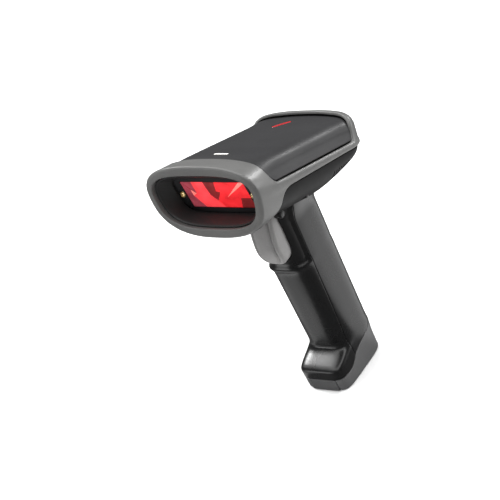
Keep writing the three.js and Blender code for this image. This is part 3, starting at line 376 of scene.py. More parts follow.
def aimed(seat, direction):
    """Matrix that takes +Z at the origin to a direction at a seat."""
    turn = Vector((0, 0, 1)).rotation_difference(Vector(direction)).to_matrix().to_4x4()
    return Matrix.Translation(seat) @ turn


def rod(start, end, radius, sides=36):
    start, end = Vector(start), Vector(end)
    length = (end - start).length
    profile = [(0, 0), (radius, 0), (radius, length), (0, length)]
    return moved(turned(profile, sides), aimed(start, end - start))


def finish_piece(piece, body, slot, *nodes):
    """Puts a piece on its body, in its finish, in place of the CAD nodes."""
    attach(piece, body)
    if nodes:
        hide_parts(*nodes)
    if not any(piece.data.materials):
        piece.data.materials.clear()
        piece.data.materials.append(finish(slot))
    return piece


# ---------------------------------------------------------------- materials
class Nodes:
    """Small helper for building a node tree."""

    def __init__(self, name):
        self.material = bpy.data.materials.new(name)
        self.material.use_nodes = True
        self.tree = self.material.node_tree
        self.shader = self.tree.nodes["Principled BSDF"]
        self.place = self.add("ShaderNodeTexCoord").outputs["Object"]

    def add(self, kind, **values):
        node = self.tree.nodes.new(kind)
        for key, value in values.items():
            setattr(node, key, value)
        return node

    def link(self, source, target):
        self.tree.links.new(source, target)

    def noise(self, scale, detail=2, stretch=None):
        node = self.add("ShaderNodeTexNoise")
        node.inputs["Scale"].default_value = scale
        node.inputs["Detail"].default_value = detail
        source = self.place
        if stretch:
            mapping = self.add("ShaderNodeMapping")
            mapping.inputs["Scale"].default_value = stretch
            self.link(self.place, mapping.inputs["Vector"])
            source = mapping.outputs["Vector"]
        self.link(source, node.inputs["Vector"])
        return node.outputs["Fac"]

    def span(self, value, low, high, start=0.3, end=0.7):
        """A value from start to end becomes one from low to high."""
        node = self.add("ShaderNodeMapRange")
        for key, number in zip(("From Min", "From Max", "To Min", "To Max"), (start, end, low, high)):
            node.inputs[key].default_value = number
        self.link(value, node.inputs["Value"])
        return node.outputs["Result"]

    def mix(self, share, first, second):
        node = self.add("ShaderNodeMix", data_type="RGBA")
        self.link(share, node.inputs["Factor"])
        for socket, value in ((node.inputs[6], first), (node.inputs[7], second)):
            if isinstance(value, tuple):
                socket.default_value = (*value, 1)
            else:
                self.link(value, socket)
        return node.outputs[2]

    def bump(self, heights):
        """Bump from (height, depth in metres) pairs."""
        normal = None
        for height, depth in heights:
            node = self.add("ShaderNodeBump")
            node.inputs["Distance"].default_value = depth
            self.link(height, node.inputs["Height"])
            if normal:
                self.link(normal, node.inputs["Normal"])
            normal = node.outputs["Normal"]
        self.link(normal, self.shader.inputs["Normal"])

    def set(self, **values):
        for key, value in values.items():
            self.shader.inputs[key.replace("_", " ")].default_value = value


def plastic(name, color, rough, grain=2600, depth=0.00002, vary=0.10, wear=0.35, specular=0.35, coat=0.0):
    """Moulded plastic: spark-eroded grain, faint flow mottling, and edges rubbed lighter."""
    n = Nodes(name)
    mottle = n.noise(55, 3)
    fine = n.noise(grain, 2)
    shade = n.mix(n.span(mottle, 0, 1), scaled(color, 1 - vary), scaled(color, 1 + vary))
    flecks = n.mix(n.span(fine, 0, 0.6, 0.45, 0.75), shade, scaled(color, 1.25))
    edge = n.add("ShaderNodeNewGeometry").outputs["Pointiness"]
    rubbed = n.span(edge, 0, wear, 0.52, 0.62)
    n.link(n.mix(rubbed, flecks, scaled(color, 1.9)), n.shader.inputs["Base Color"])
    n.link(n.span(mottle, rough - 0.04, rough + 0.05), n.shader.inputs["Roughness"])
    n.bump([(mottle, 0.00006), (fine, depth)])
    n.set(Specular_IOR_Level=specular, Coat_Weight=coat, Coat_Roughness=0.12)
    return n.material


def metal(name, color, rough, brushed=(1, 1, 12)):
    """Bright metal with fine drawing lines, stains and duller patches."""
    n = Nodes(name)
    lines = n.noise(900, 3, brushed)
    stain = n.noise(160, 3)
    shade = n.mix(n.span(stain, 0, 0.6), color, scaled(color, 0.72))
    n.link(shade, n.shader.inputs["Base Color"])
    n.link(n.span(lines, rough - 0.06, rough + 0.12), n.shader.inputs["Roughness"])
    n.bump([(lines, 0.000012)])
    n.set(Metallic=1.0)
    return n.material


def board(name, color):
    """Circuit board: lacquer over copper tracks, with rows of pads."""
    n = Nodes(name)
    tracks = n.add("ShaderNodeTexBrick")
    tracks.inputs["Scale"].default_value = 260
    tracks.inputs["Mortar Size"].default_value = 0.012
    n.link(n.place, tracks.inputs["Vector"])
    shade = n.mix(n.span(n.noise(90, 3), 0, 1), scaled(color, 0.8), scaled(color, 1.2))
    n.link(n.mix(tracks.outputs["Fac"], shade, scaled(color, 2.2)), n.shader.inputs["Base Color"])
    n.link(n.span(n.noise(700), 0.22, 0.4), n.shader.inputs["Roughness"])
    n.bump([(tracks.outputs["Fac"], 0.00003)])
    return n.material


def wound(name, color):
    """Enamelled copper in fine turns."""
    n = Nodes(name)
    turns = n.add("ShaderNodeTexWave", bands_direction="Y")
    turns.inputs["Scale"].default_value = 900
    turns.inputs["Distortion"].default_value = 0.4
    n.link(n.place, turns.inputs["Vector"])
    n.link(n.mix(turns.outputs["Fac"], scaled(color, 0.45), color), n.shader.inputs["Base Color"])
    n.link(n.span(n.noise(500), 0.25, 0.4), n.shader.inputs["Roughness"])
    n.bump([(turns.outputs["Fac"], 0.00005)])
    n.set(Metallic=1.0)
    return n.material


def glowing(name, color, glow, rough=0.16, vary=0.25, scale=140):
    """Red pane or status light lens with an uneven glow under a glossy face. On the pane the glow is painted
    light, standing in for its lit red and its reflections; on the lens it is the status light lit from
    inside.
    """
    n = Nodes(name)
    cloud = n.noise(scale, 3)
    shade = n.mix(n.span(cloud, 0, 1), scaled(color, 1 - vary), scaled(color, 1 + vary))
    n.link(shade, n.shader.inputs["Base Color"])
    n.link(shade, n.shader.inputs["Emission Color"])
    n.link(n.span(n.noise(700), rough - 0.04, rough + 0.06), n.shader.inputs["Roughness"])
    n.bump([(n.noise(260), 0.00002)])
    n.set(Emission_Strength=glow, Specular_IOR_Level=0.2, Coat_Weight=0.06, Coat_Roughness=0.05)
    return n.material


def mirror(name, color):
    """Silvered glass with a faint haze."""
    n = Nodes(name)
    haze = n.noise(220, 3)
    n.link(n.mix(n.span(haze, 0, 1), scaled(color, 0.92), color), n.shader.inputs["Base Color"])
    n.link(n.span(haze, 0.03, 0.09), n.shader.inputs["Roughness"])
    n.bump([(n.noise(90), 0.000004)])
    n.set(Metallic=1.0)
    return n.material


def scaled(color, factor):
    """A colour made lighter or darker."""
    return tuple(min(part * factor, 1.0) for part in color)


def gloss_black(name):
    """The handle's shell: nearly black, smooth enough for soft reflections."""
    return plastic(name, (0.0030, 0.0030, 0.0033), 0.28, depth=0.000006, specular=0.36, wear=0.1)


def matt_black(name):
    """The head's lower body, duller than the handle."""
    return plastic(name, (0.004, 0.004, 0.0043), 0.5, specular=0.12, wear=0.1)


def bumper_rubber(name):
    return plastic(name, (0.082, 0.082, 0.080), 0.40, grain=2200, specular=0.3, wear=0.2)


FINISHES = {
    "charcoal_cover": lambda s: plastic(s, (0.017, 0.017, 0.018), 0.48, wear=0.15, specular=0.16),
    "bumper_grey": bumper_rubber,
    "black_shell": gloss_black,
    "cap_grey": lambda s: plastic(s, (0.074, 0.074, 0.075), 0.46, specular=0.3),
    "flap_grey": lambda s: plastic(s, (0.060, 0.060, 0.061), 0.50, specular=0.25),
    "trigger_grey": lambda s: plastic(s, (0.180, 0.177, 0.175), 0.50, specular=0.2),
    "hood_liner": lambda s: plastic(s, (0.018, 0.018, 0.018), 0.55, specular=0.25),
    "black_plastic": lambda s: plastic(s, (0.010, 0.010, 0.011), 0.5),
    # red_window: its glow is painted light, standing in for the lit red of the pane
    "red_window": lambda s: glowing(s, (0.80, 0.016, 0.030), 0.55),
    "mirror_glass": lambda s: mirror(s, (0.85, 0.86, 0.87)),
    "steel": lambda s: metal(s, (0.55, 0.56, 0.57), 0.28),
    "brass": lambda s: metal(s, (0.78, 0.60, 0.30), 0.26),
    "copper_wire": lambda s: wound(s, (0.72, 0.40, 0.22)),
    "magnet_nickel": lambda s: metal(s, (0.5, 0.5, 0.5), 0.2, (1, 1, 1)),
    "circuit_board": lambda s: board(s, (0.015, 0.13, 0.05)),
    "chip_black": lambda s: plastic(s, (0.010, 0.010, 0.011), 0.55, grain=4000),
    "connector_white": lambda s: plastic(s, (0.70, 0.69, 0.66), 0.45),
    "cell_wrap": lambda s: plastic(s, (0.03, 0.11, 0.34), 0.3, grain=900, coat=0.3),
    "wire_sleeve": lambda s: plastic(s, (0.012, 0.012, 0.013), 0.4, grain=900),
    "red_clear": lambda s: glowing(s, (0.35, 0.012, 0.016), 0.12),
}
made_finishes = {}


def finish(slot):
    if slot not in made_finishes:
        made_finishes[slot] = FINISHES[slot](slot)
    return made_finishes[slot]


# ---------------------------------------------------------------- head surface
PROFILE_PARTS = (("crown", 18), ("shoulder", 14), ("side", 5), ("rail", 10), ("under", 35))
PROFILE_POINTS = sum(count for _, count in PROFILE_PARTS)


def head_bottom(y):
    """Height of the keel, which sweeps up to the tail."""
    return BOTTOM + 17 * (np.maximum(0, y) / 49) ** 1.85


def rail_bottom(y):
    """Height of the bumper rail's lower edge."""
    return lerp(2.4, 5.2, (y - COLLAR_REAR) / (REAR - COLLAR_REAR))


def head_profile(y, inset):
    """Half outline from crown to keel as shares of the half width and heights. y is one station, or
    one for each point."""
    y = np.broadcast_to(np.asarray(y, float), (PROFILE_POINTS,))
    tail = ramp(y, *TAIL_CHANGE)
    top = TOP - inset + tail * (RIM_RISE if inset < 0 else 0)
    low = rail_bottom(y)
    keel = np.minimum(head_bottom(y) + inset, low - 1)
    crown = (lerp(0.64, 0.74, tail), top - lerp(0.35, 0.3, tail))
    corner = (lerp(0.865, 0.93, tail), top - lerp(0.6, 0.7, tail))
    shoulder = (lerp(0.9, 0.965, tail), top - lerp(6.8, 7, tail))
    share = np.empty(PROFILE_POINTS)
    height = np.empty(PROFILE_POINTS)
    start = 0
    for part, count in PROFILE_PARTS:
        at = slice(start, start + count)
        t = np.arange(count) / (count - 1 if part == "under" else count)
        if part == "crown":
            share[at] = crown[0][at] * t
            height[at] = lerp(top[at], crown[1][at], t * t)
        elif part == "shoulder":
            share[at] = bend(t, crown[0][at], corner[0][at], shoulder[0][at])
            height[at] = bend(t, crown[1][at], corner[1][at], shoulder[1][at])
        elif part == "side":
            share[at] = lerp(shoulder[0][at], SIDE_SHARE, t)
            height[at] = lerp(shoulder[1][at], RAIL_TOP, t)
        elif part == "rail":
            share[at] = bend(t, SIDE_SHARE, 1.02, SIDE_SHARE)
            height[at] = bend(t, RAIL_TOP, (RAIL_TOP + low[at]) / 2, low[at])
        else:
            angle = t * math.pi / 2
            share[at] = SIDE_SHARE * np.clip(np.cos(angle), 0, 1) ** (2 / BELLY_POWER)
            height[at] = low[at] - (low[at] - keel[at]) * np.sin(angle) ** (2 / BELLY_POWER)
        start += count
    share[-1] = 0
    return share, height


def tapered(x, z, half, power, scale):
    """Points of the collar's or mouth's tapered outline in the direction of other points."""
    across, up = superellipse(np.stack([x, z - LIP_Z], 1), half, power).T * scale
    return across * (1 + LIP_TAPER * up / half[1]), LIP_Z + up


def head_half(y, inset, lip_scale=1.0):
    """Left half of the head's outline at station y."""
    collar = 1 - ramp(y, COLLAR_START, COLLAR_FADE)
    lean = LIP_LEAN * (1 - ramp(y, *LEAN_FADE))
    share, z = head_profile(max(y, COLLAR_REAR), inset)
    x = share * (HALF_WIDTH - inset)
    lip_x, lip_z = tapered(x, z, LIP_HALF, LIP_POWER, lip_scale - inset / LIP_DRAW_IN)
    x, z = lerp(x, lip_x, collar), lerp(z, lip_z, collar)
    return np.stack([x, y - lean * (z - LIP_Z), z], 1)


def mouth_half(y, shrink):
    """Left half of the mouth's outline at depth y, its points in the directions of the collar's."""
    share, z = head_profile(COLLAR_REAR, 0)
    half = (MOUTH_HALF[0] - shrink, MOUTH_HALF[1] - shrink)
    x, z = tapered(share * HALF_WIDTH, z, half, MOUTH_POWER, 1.0)
    return np.stack([x, y - LIP_LEAN * (z - LIP_Z), z], 1)


def tail_half(across, along, inset):
    """Outline from crown to keel in one direction of the rounded tail's plan."""
    y = np.full(PROFILE_POINTS, 45.0)
    for _ in range(6):
        share, z = head_profile(y, inset)
        y = TAIL_START + (REAR - TAIL_START - inset) * share * along
    return np.stack([(HALF_WIDTH - inset) * share * across, y, z], 1)


def tail_directions(count):
    """Directions round the tail's plan, evenly spaced, from its left side to its right."""
    angle = np.linspace(0, math.pi, 1201)
    u = np.sign(np.cos(angle)) * np.abs(np.cos(angle)) ** (2 / TAIL_POWER)
    v = np.abs(np.sin(angle)) ** (2 / TAIL_POWER)
    u[600] = 0
    v[[0, -1]] = 0
    length = np.hypot(np.diff(u) * HALF_WIDTH, np.diff(v) * (REAR - TAIL_START))
    travelled = np.concatenate([[0], np.cumsum(length)])
    wanted = np.linspace(0, travelled[-1], count)
    return np.interp(wanted, travelled, u), np.interp(wanted, travelled, v)


HEAD_STEP = 1.2


def head_surface(inset, front_rings=(), first=-56.0):
    """The head's outside, drawn in by inset. front_rings continue it round the lip."""
    stations = np.arange(first, TAIL_START - 0.1, HEAD_STEP)
    left = [*front_rings, *[head_half(y, inset) for y in stations]]
    right = [ring * np.array([-1, 1, 1]) for ring in reversed(left)]
    tail = [tail_half(u, v, inset) for u, v in zip(*tail_directions(81))]
    return grid([*left, *tail, *right])


def lip_rings():
    """Rings from inside the mouth, over the lip's broad front face, to its outer edge."""
    edge = LIP_INNER_RADIUS
    rings = [mouth_half(y, 0) for y in np.linspace(-46.5, LIP_FRONT + edge, 7)]
    for angle in np.linspace(0, math.pi / 2, 7)[1:]:
        inward = edge * (1 - math.cos(angle))
        rings.append(mouth_half(LIP_FRONT + edge * (1 - math.sin(angle)), -inward))
    outer_rings = []
    for angle in np.linspace(0, math.pi / 2, 10):
        scale = 1 - LIP_RADIUS * (1 - math.sin(angle)) / LIP_DRAW_IN
        y = LIP_FRONT + LIP_RADIUS * (1 - math.cos(angle))
        outer_rings.append(head_half(y, -PROUD, scale))
    face_start = rings[-1]
    for share in (0.2, 0.4, 0.6, 0.8):
        rings.append(lerp(face_start, outer_rings[0], share))
    return [*rings, *outer_rings]


# Outlines that split the head into shells: two seen from the side as (y, z), one in plan.
COVER_SIDE = outline(
    (COVER_FRONT, 60), [(COVER_FRONT, TOP)], [(COVER_FRONT + 1, RAIL_TOP + 2), (COVER_FRONT + 6, RAIL_TOP)],
    [(60, RAIL_TOP + 0.5)], [(60, 60)])
LOWER_SIDE = outline(
    (60, rail_bottom(60)), [(-24, rail_bottom(-24))], [(-33.5, rail_bottom(-33)), (-34.5, -4)],
    [(-36.5, -10), (-45, -14)], [(-45, -60)], [(60, -60)])

COVER_HALF = outline((36.5, -90), [(36.5, 27)], [(36, 34.6), (29.5, 37)], [(14, 44), (0, 44)])
COVER_PLAN = np.vstack([COVER_HALF, COVER_HALF[-2::-1] * (-1, 1)])


def cover_field(points):
    """Distance inside the top cover's outlines."""
    side = inside_distance(points[:, [1, 2]], COVER_SIDE)
    return np.minimum(side, inside_distance(points[:, :2], COVER_PLAN))


def lower_field(points):
    """Distance inside the lower body's outline."""
    return inside_distance(points[:, [1, 2]], LOWER_SIDE)


# ---------------------------------------------------------------- head shells
def pill(length, half_width, count=12):
    """Round-ended outline along the first axis."""
    straight = length / 2 - half_width
    angle = np.linspace(-math.pi / 2, math.pi / 2, count)
    end = np.stack([straight + half_width * np.cos(angle), half_width * np.sin(angle)], 1)
    return np.vstack([end, -end])


def raised(polygon, low, high, dome, radius):
    """Plate lying in X and Y with a slightly domed top."""
    half = np.abs(polygon).max(0)

    def top(flat, distance, drop):
        bulge = dome * (1 - ((flat / half) ** 2).sum(1) / 2)
        return np.column_stack([flat, high + bulge - drop])

    return plate(polygon, top, lambda flat: np.column_stack([flat, np.full(len(flat), low)]), radius, 0.35)


LIGHT_PLACE = Matrix.Translation((-6, 27, 0)) @ Matrix.Rotation(math.radians(66), 4, "Z")
MARK_PLACE = Matrix.Translation((-4.8, -28, 0))


def build_cover():
    """Top cover with the status light let into it and a plain dash where a mark would be."""
    points, faces = head_surface(0, first=COVER_FRONT - 2)
    piece = make("top_cover_shell", shell(points, faces, cover_field(points) - GAP), HEAD_FRAME)
    hole = moved(raised(pill(12.4, 1.6), 10, 24, 0, 0.1), LIGHT_PLACE)
    carve(piece, make("hole", hole, HEAD_FRAME))
    finish_piece(piece, HOUSING, "charcoal_cover", "top_cover")
    lens = moved(raised(pill(12, 1.4), 14, TOP - 0.25, 0.45, 0.35), LIGHT_PLACE)
    finish_piece(make("status_light_lens", lens, HEAD_FRAME), HOUSING, "red_clear", "status_light_pipe")
    dash = moved(raised(pill(9.4, 0.85), TOP - 0.6, TOP + 0.1, 0.02, 0.08), MARK_PLACE)
    finish_piece(make("cover_mark", dash, HEAD_FRAME), HOUSING, "connector_white")


def build_bumper():
    """Grey moulding: lip and collar, side rails and rear rim."""
    points, faces = head_surface(-PROUD, lip_rings(), first=LIP_FRONT + LIP_RADIUS + 0.6)
    field = np.minimum(-cover_field(points), -lower_field(points))
    piece = make("bumper_shell", shell(points, faces, field, radius=BUMPER_EDGE), HEAD_FRAME)
    finish_piece(piece, HOUSING, "bumper_grey", "bumper_frame")


def vent_slots():
    """Cutters for the row of vents low on each side."""
    slots = []
    for k in range(VENTS):
        y = VENT_START + VENT_PITCH * k
        z = head_bottom(y) * 0.42 + 1
        for side in (-1, 1):
            slot = raised(pill(5.2, 0.45), 0, 12, 0, 0.1)
            seat = Matrix.Translation((side * 31 - 6, y, z))
            slots.append(moved(slot, seat @ Matrix.Rotation(math.radians(90), 4, "Y")))
    return merge(slots)


def cover_posts():
    """Tubes inside the wells of the cover's screws."""
    tubes = []
    for x, y in COVER_SCREWS:
        low = -9.5 if y < 0 else -3.0
        wall = [(3.4, low), (3.4, 7.5), (1.3, 7.5), (1.3, 1.5), (2.5, 1.5), (2.5, low), (3.4, low)]
        tubes.append(moved(turned(wall), Matrix.Translation((x, y, 0))))
    return merge(tubes)


def build_lower():
    """Black belly of the head, with vents and screw wells."""
    points, faces = head_surface(0, first=LIP_FRONT + 1)
    piece = make("lower_body_shell", shell(points, faces, lower_field(points) - GAP), HEAD_FRAME)
    carve(piece, make("slots", vent_slots(), HEAD_FRAME))
    wells = [rod((x, y, -30), (x, y, 4), 2.5) for x, y in COVER_SCREWS]
    carve(piece, make("wells", merge(wells), HEAD_FRAME))
    finish_piece(make("cover_screw_posts", cover_posts(), HEAD_FRAME), HOUSING, "black_shell")
    piece.data.materials.clear()
    piece.data.materials.append(matt_black("black_shell_matt"))
    finish_piece(piece, HOUSING, "black_shell", "lower_body")


# ---------------------------------------------------------------- hood and window
def build_hood():
    """Dark funnel from the mouth back to the window."""
    ring = directions(120)

    def mouth(y, shrink):
        half = (MOUTH_HALF[0] - shrink, MOUTH_HALF[1] - shrink)
        x, z = tapered(ring[:, 0], LIP_Z + ring[:, 1], half, MOUTH_POWER, 1.0)
        return np.stack([x, y - LIP_LEAN * (z - LIP_Z), z], 1)

    def throat(depth, margin):
        half = (THROAT_HALF[0] + margin, THROAT_HALF[1] + margin)
        flat = superellipse(ring, half, 5)
        return np.stack([flat[:, 0], WINDOW_Y + depth - WINDOW_LEAN * flat[:, 1], WINDOW_Z + flat[:, 1]], 1)

    outside = [mouth(-51.6, 0.5), mouth(-51.2, 0.3), mouth(-49.4, 0.3), throat(-0.6, 1.5)]
    first, last = mouth(-50.4, 1.5), throat(-1.2, 0)
    inside = [throat(0, 0), last, *[lerp(last, first, t) for t in np.linspace(0, 1, 9)[1:]]]
    lip = [mouth(-51.3, 1.1), mouth(-51.6, 0.7)]
    rings = [*outside, *inside, *lip, outside[0]]
    points, faces = grid(rings, closed=True)
    finish_piece(make("window_hood_liner", (points, faces), HEAD_FRAME), HOUSING, "hood_liner", "window_hood")


# Facets of the window as seen from the front: finish, tilt, and corners as shares across and down. The
# finishes paint light, highlights and shade on the pane.
WINDOW_FACETS = [
    ("pink", 0.35, [(0, 0), (0.17, 0), (0.17, 0.45)]),
    ("bright", 0.15, [(0.17, 0), (0.36, 0), (0.38, 0.52), (0.52, 1), (0.21, 1), (0.1, 0.55), (0.17, 0.45)]),
    ("pale", 0.5, [(0.1, 0.3), (0.17, 0.45), (0.1, 0.55)]),
    ("painted_shade", -0.3, [(0.36, 0), (0.54, 0), (0.50, 0.36), (0.56, 0.40), (0.46, 0.72), (0.38, 0.52)]),
    ("ruby", 0.0, [(0.54, 0), (0.93, 0), (0.63, 0.60), (0.56, 0.40), (0.50, 0.36)]),
    ("pale", 0.4, [(0.93, 0), (1, 0), (0.995, 0.04), (0.63, 0.60)]),
    ("ruby", 0.1, [(1, 0.04), (1, 0.62), (0.84, 0.62), (0.78, 1), (0.52, 1), (0.46, 0.72), (0.56, 0.40),
                   (0.63, 0.60)]),
    ("painted_shade", -0.35, [(0.84, 0.62), (1, 0.62), (1, 1), (0.78, 1)]),
    ("deep", -0.2, [(0, 0), (0.17, 0.45), (0.1, 0.3)]),
    ("pink", 0.3, [(0, 0), (0.1, 0.3), (0.1, 0.55), (0.21, 1), (0, 1)]),
]
# Colour and glow of each facet finish. The glow is painted light: each finish paints the pane's lit red at
# its own strength, bright and pale paint highlights and reflections on it, and the two darkest finishes paint
# shade.
FACET_FINISHES = {
    "ruby": ((0.74, 0.022, 0.028), 0.52),
    "bright": ((0.82, 0.050, 0.060), 0.60),
    "pink": ((0.32, 0.050, 0.070), 0.32),
    "pale": ((0.90, 0.20, 0.17), 0.6),
    "painted_shade": ((0.20, 0.018, 0.019), 0.36),
    "deep": ((0.20, 0.004, 0.010), 0.3),
}


def window_point(across, down, depth):
    """Point of the leaning window, from shares across and down and the depth behind its face."""
    up = WINDOW_HALF[1] * (1 - 2 * down)
    return (WINDOW_HALF[0] * (2 * across - 1), WINDOW_Y + depth - WINDOW_LEAN * up, WINDOW_Z + up)


def build_window():
    """The pane as a row of shallow tilted facets, each a thin closed body, whose glowing finishes paint the
    light, highlights and shade on the pane.
    """
    names = list(FACET_FINISHES)
    surfaces, numbers = [], []
    for name, tilt, corners in WINDOW_FACETS:
        middle = sum(a for a, _ in corners) / len(corners)
        front = [window_point(a, d, 0.42 + tilt * (a - middle)) for a, d in corners]
        back = [window_point(a, d, 1.4) for a, d in corners]
        count = len(corners)
        faces = [list(reversed(range(count))), list(range(count, 2 * count))]
        faces += [[k, (k + 1) % count, (k + 1) % count + count, k + count] for k in range(count)]
        surfaces.append((np.array(front + back), faces))
        numbers += [names.index(name)] * len(faces)
    piece = make("exit_window_pane", merge(surfaces), HEAD_FRAME, sharp=1)
    # each facet gets its glowing finish: painted light, painted highlight or painted shade
    for name, (color, glow) in FACET_FINISHES.items():
        piece.data.materials.append(glowing(f"red_window_{name}", color, glow))
    for face, number in zip(piece.data.polygons, numbers):
        face.material_index = number
    finish_piece(piece, HOUSING, "red_window", "exit_window")


# ---------------------------------------------------------------- grip
def grip_front(z):
    """Front line of the grip: toe, belly and the chin under the trigger."""
    toe = 1 - ramp(z, TOE_HEIGHT, 21)
    belly = lerp(-13.6, -17.6, np.clip((z - 20) / 60, 0, 1))
    foot = FOOT_FRONT - 1.5 * min(z / TOE_HEIGHT, 1)
    return lerp(belly, foot, toe) - 1.9 * math.exp(-(((z - 78.6) / 2.6) ** 2))


def grip_back(z):
    """Back line of the grip, spreading into the head."""
    return lerp(18, 16.9, 1 - ramp(z, 9, 22)) + 3.8 * ramp(z, 103, 114)


def grip_ring(z, inset=0.0, scale=1.0, count=128):
    """Outline of the grip at height z. Above the chin its front corners step in beside the trigger."""
    front, back = grip_front(z) + inset, grip_back(z) - inset
    middle = (front + back) / 2
    half = (GRIP_HALF_WIDTH + 4 * ramp(z, 103, 120) - inset, (back - front) / 2)
    ring = directions(count)
    toe = ramp(z, 13, 24)
    rear = superellipse(ring, half, 4.2 - toe)
    fore = superellipse(ring, half, 7 - 3.8 * toe)
    flat = np.where(ring[:, 1:] > 0, rear, fore)
    x, y = flat[:, 0] * scale, middle + flat[:, 1] * scale
    recess = ramp(z, 78.5, 81) * ramp(-y, 9.3, 10.8)
    return np.stack([x * (1 - 0.14 * recess), y, np.full(count, z)], 1)


# Side outline of all that lies above the base cap's seam.
ABOVE_CAP = outline(
    (-60, 8), [(-17, 8)], [(-13, 8), (-8, 12.6)], [(-2, 15.2), (20, 18.2)], [(60, 19.9)], [(60, 260)],
    [(-60, 260)])


def above_cap(points):
    return inside_distance(points[:, [1, 2]], ABOVE_CAP)


def below_head(points):
    """Roughly the distance under the head's belly, less a clearance."""
    back = np.array(HEAD_FRAME.inverted())
    local = points[:, :3] @ back[:3, :3].T + back[:3, 3]
    low = rail_bottom(local[:, 1])
    keel = head_bottom(local[:, 1])
    out = np.abs(local[:, 0] / (SIDE_SHARE * HALF_WIDTH))
    share = np.clip(1 - out ** BELLY_POWER, 0, 1) ** (1 / BELLY_POWER)
    return (low - (low - keel) * share) - local[:, 2] - GAP - 0.1


def trigger_face(top):
    """Front outline of the trigger about its pivot: straight sides and a round lower end."""
    low = TRIGGER_LOW - TRIGGER_PIVOT[1]
    half = TRIGGER_HALF_WIDTH
    t = np.linspace(0, 1, 41)[:, None]
    ends = [np.array(p) for p in ((-half, low + 9), (-half, low - 2.5), (half, low - 2.5), (half, low + 9))]
    arc = sum(c * (1 - t) ** (3 - k) * t ** k * p for k, (c, p) in enumerate(zip((1, 3, 3, 1), ends)))
    return np.vstack([arc, [(half, top - 0.9), (half - 0.9, top), (-half + 0.9, top), (-half, top - 0.9)]])


# Round boss over each end of the trigger's pin, as (radius, distance from the middle).
PIN_BOSS = [(0, 9), (2.7, 9), (2.9, 9.2), (2.9, 12.4), (2.5, 13), (1.6, 13.3), (0, 13.4)]


def build_grip():
    """Handle in two halves, with a slot for the trigger in front and a screw well behind."""
    heights = [*np.arange(6, 76, 1.0), *np.arange(76, 84, 0.5), *np.arange(84, 132, 1.0)]
    points, faces = grid([grip_ring(z) for z in heights], closed=True)
    common = np.minimum(above_cap(points) - GAP, below_head(points))
    slot = -0.6 - inside_distance(points[:, [0, 2]] - (0, TRIGGER_PIVOT[1]), trigger_face(40))
    front = np.minimum(np.minimum(common, SPLIT_Y - 0.06 - points[:, 1]), slot)
    back = np.minimum(common, points[:, 1] - SPLIT_Y - 0.06)
    piece = make("grip_front", shell(points, faces, front, 0.3, 2.0))
    for side in (1, -1):
        boss = moved(turned(PIN_BOSS), aimed((0, *TRIGGER_PIVOT), (side, 0, 0)))
        carve(piece, make("boss", boss), "UNION")
    finish_piece(piece, HOUSING, "black_shell", "grip_front_shell")
    piece = make("grip_rear", shell(points, faces, back, 0.3, 2.0))
    carve(piece, make("well", rod((0, 13.4, GRIP_SCREW_Z), (0, 30, GRIP_SCREW_Z), 2.5)))
    finish_piece(piece, HOUSING, "black_shell", "grip_rear_shell")


def build_cap():
    """Foot: a cup with the flap's seat and the charging port in its front."""
    edge = 1.1
    rings = [grip_ring(0, edge, scale) for scale in (0, 0.3, 0.6, 0.85)]
    for angle in np.linspace(0, math.pi / 2, 7):
        rings.append(grip_ring(edge * (1 - math.sin(math.pi / 2 - angle)), edge * (1 - math.sin(angle))))
    rings += [grip_ring(z) for z in np.arange(edge + 0.5, 20, 0.6)]
    for ring in rings[:4]:
        ring[:, 2] = 0
    points, faces = grid(rings, closed=True)
    piece = make("base_cap_shell", shell(points, faces, -above_cap(points), 0.35, 2.2))
    carve(piece, make("wall", block((-10.5, -24.4, 1.2), (10.5, -22.6, 7.9))), "UNION")
    seat = block((-9.2, -40, -1), (9.2, -24.4, 20))
    port = block((-6.2, -30, 2.1), (6.2, -19.4, 6.3))
    out, y = BASE_SCREWS
    wells = [rod((x, y, -3), (x, y, 2.6), 2.4) for x in (-out, out)]
    for cut in (seat, port, merge(wells)):
        carve(piece, make("cut", cut))
    finish_piece(piece, HOUSING, "cap_grey", "base_cap")


def build_flap():
    """Flap over the charging port: a crowned plate with a finger groove along its lower edge."""
    half, low, high = FLAP_HALF_WIDTH, -6.3, 0.85
    polygon = np.array([(-half, low), (half, low), (half, high), (-half, high)])

    def front(flat, distance, drop):
        crown = 0.12 * (flat[:, 0] / half) ** 2
        groove = 0.22 * np.exp(-(((flat[:, 1] + 4.9) / 0.35) ** 2)) * ramp(distance, 1.2, 2.2)
        return np.column_stack([flat[:, 0], -1.05 + crown + groove + drop, flat[:, 1]])

    def back(flat):
        return np.column_stack([flat[:, 0], np.full(len(flat), 0.7), flat[:, 1]])

    place = Matrix.Translation((0, *FLAP_PIVOT))
    piece = make("port_cover_flap", plate(polygon, front, back, 0.55, 0.45), place)
    finish_piece(piece, "port_cover", "flap_grey", "port_cover")


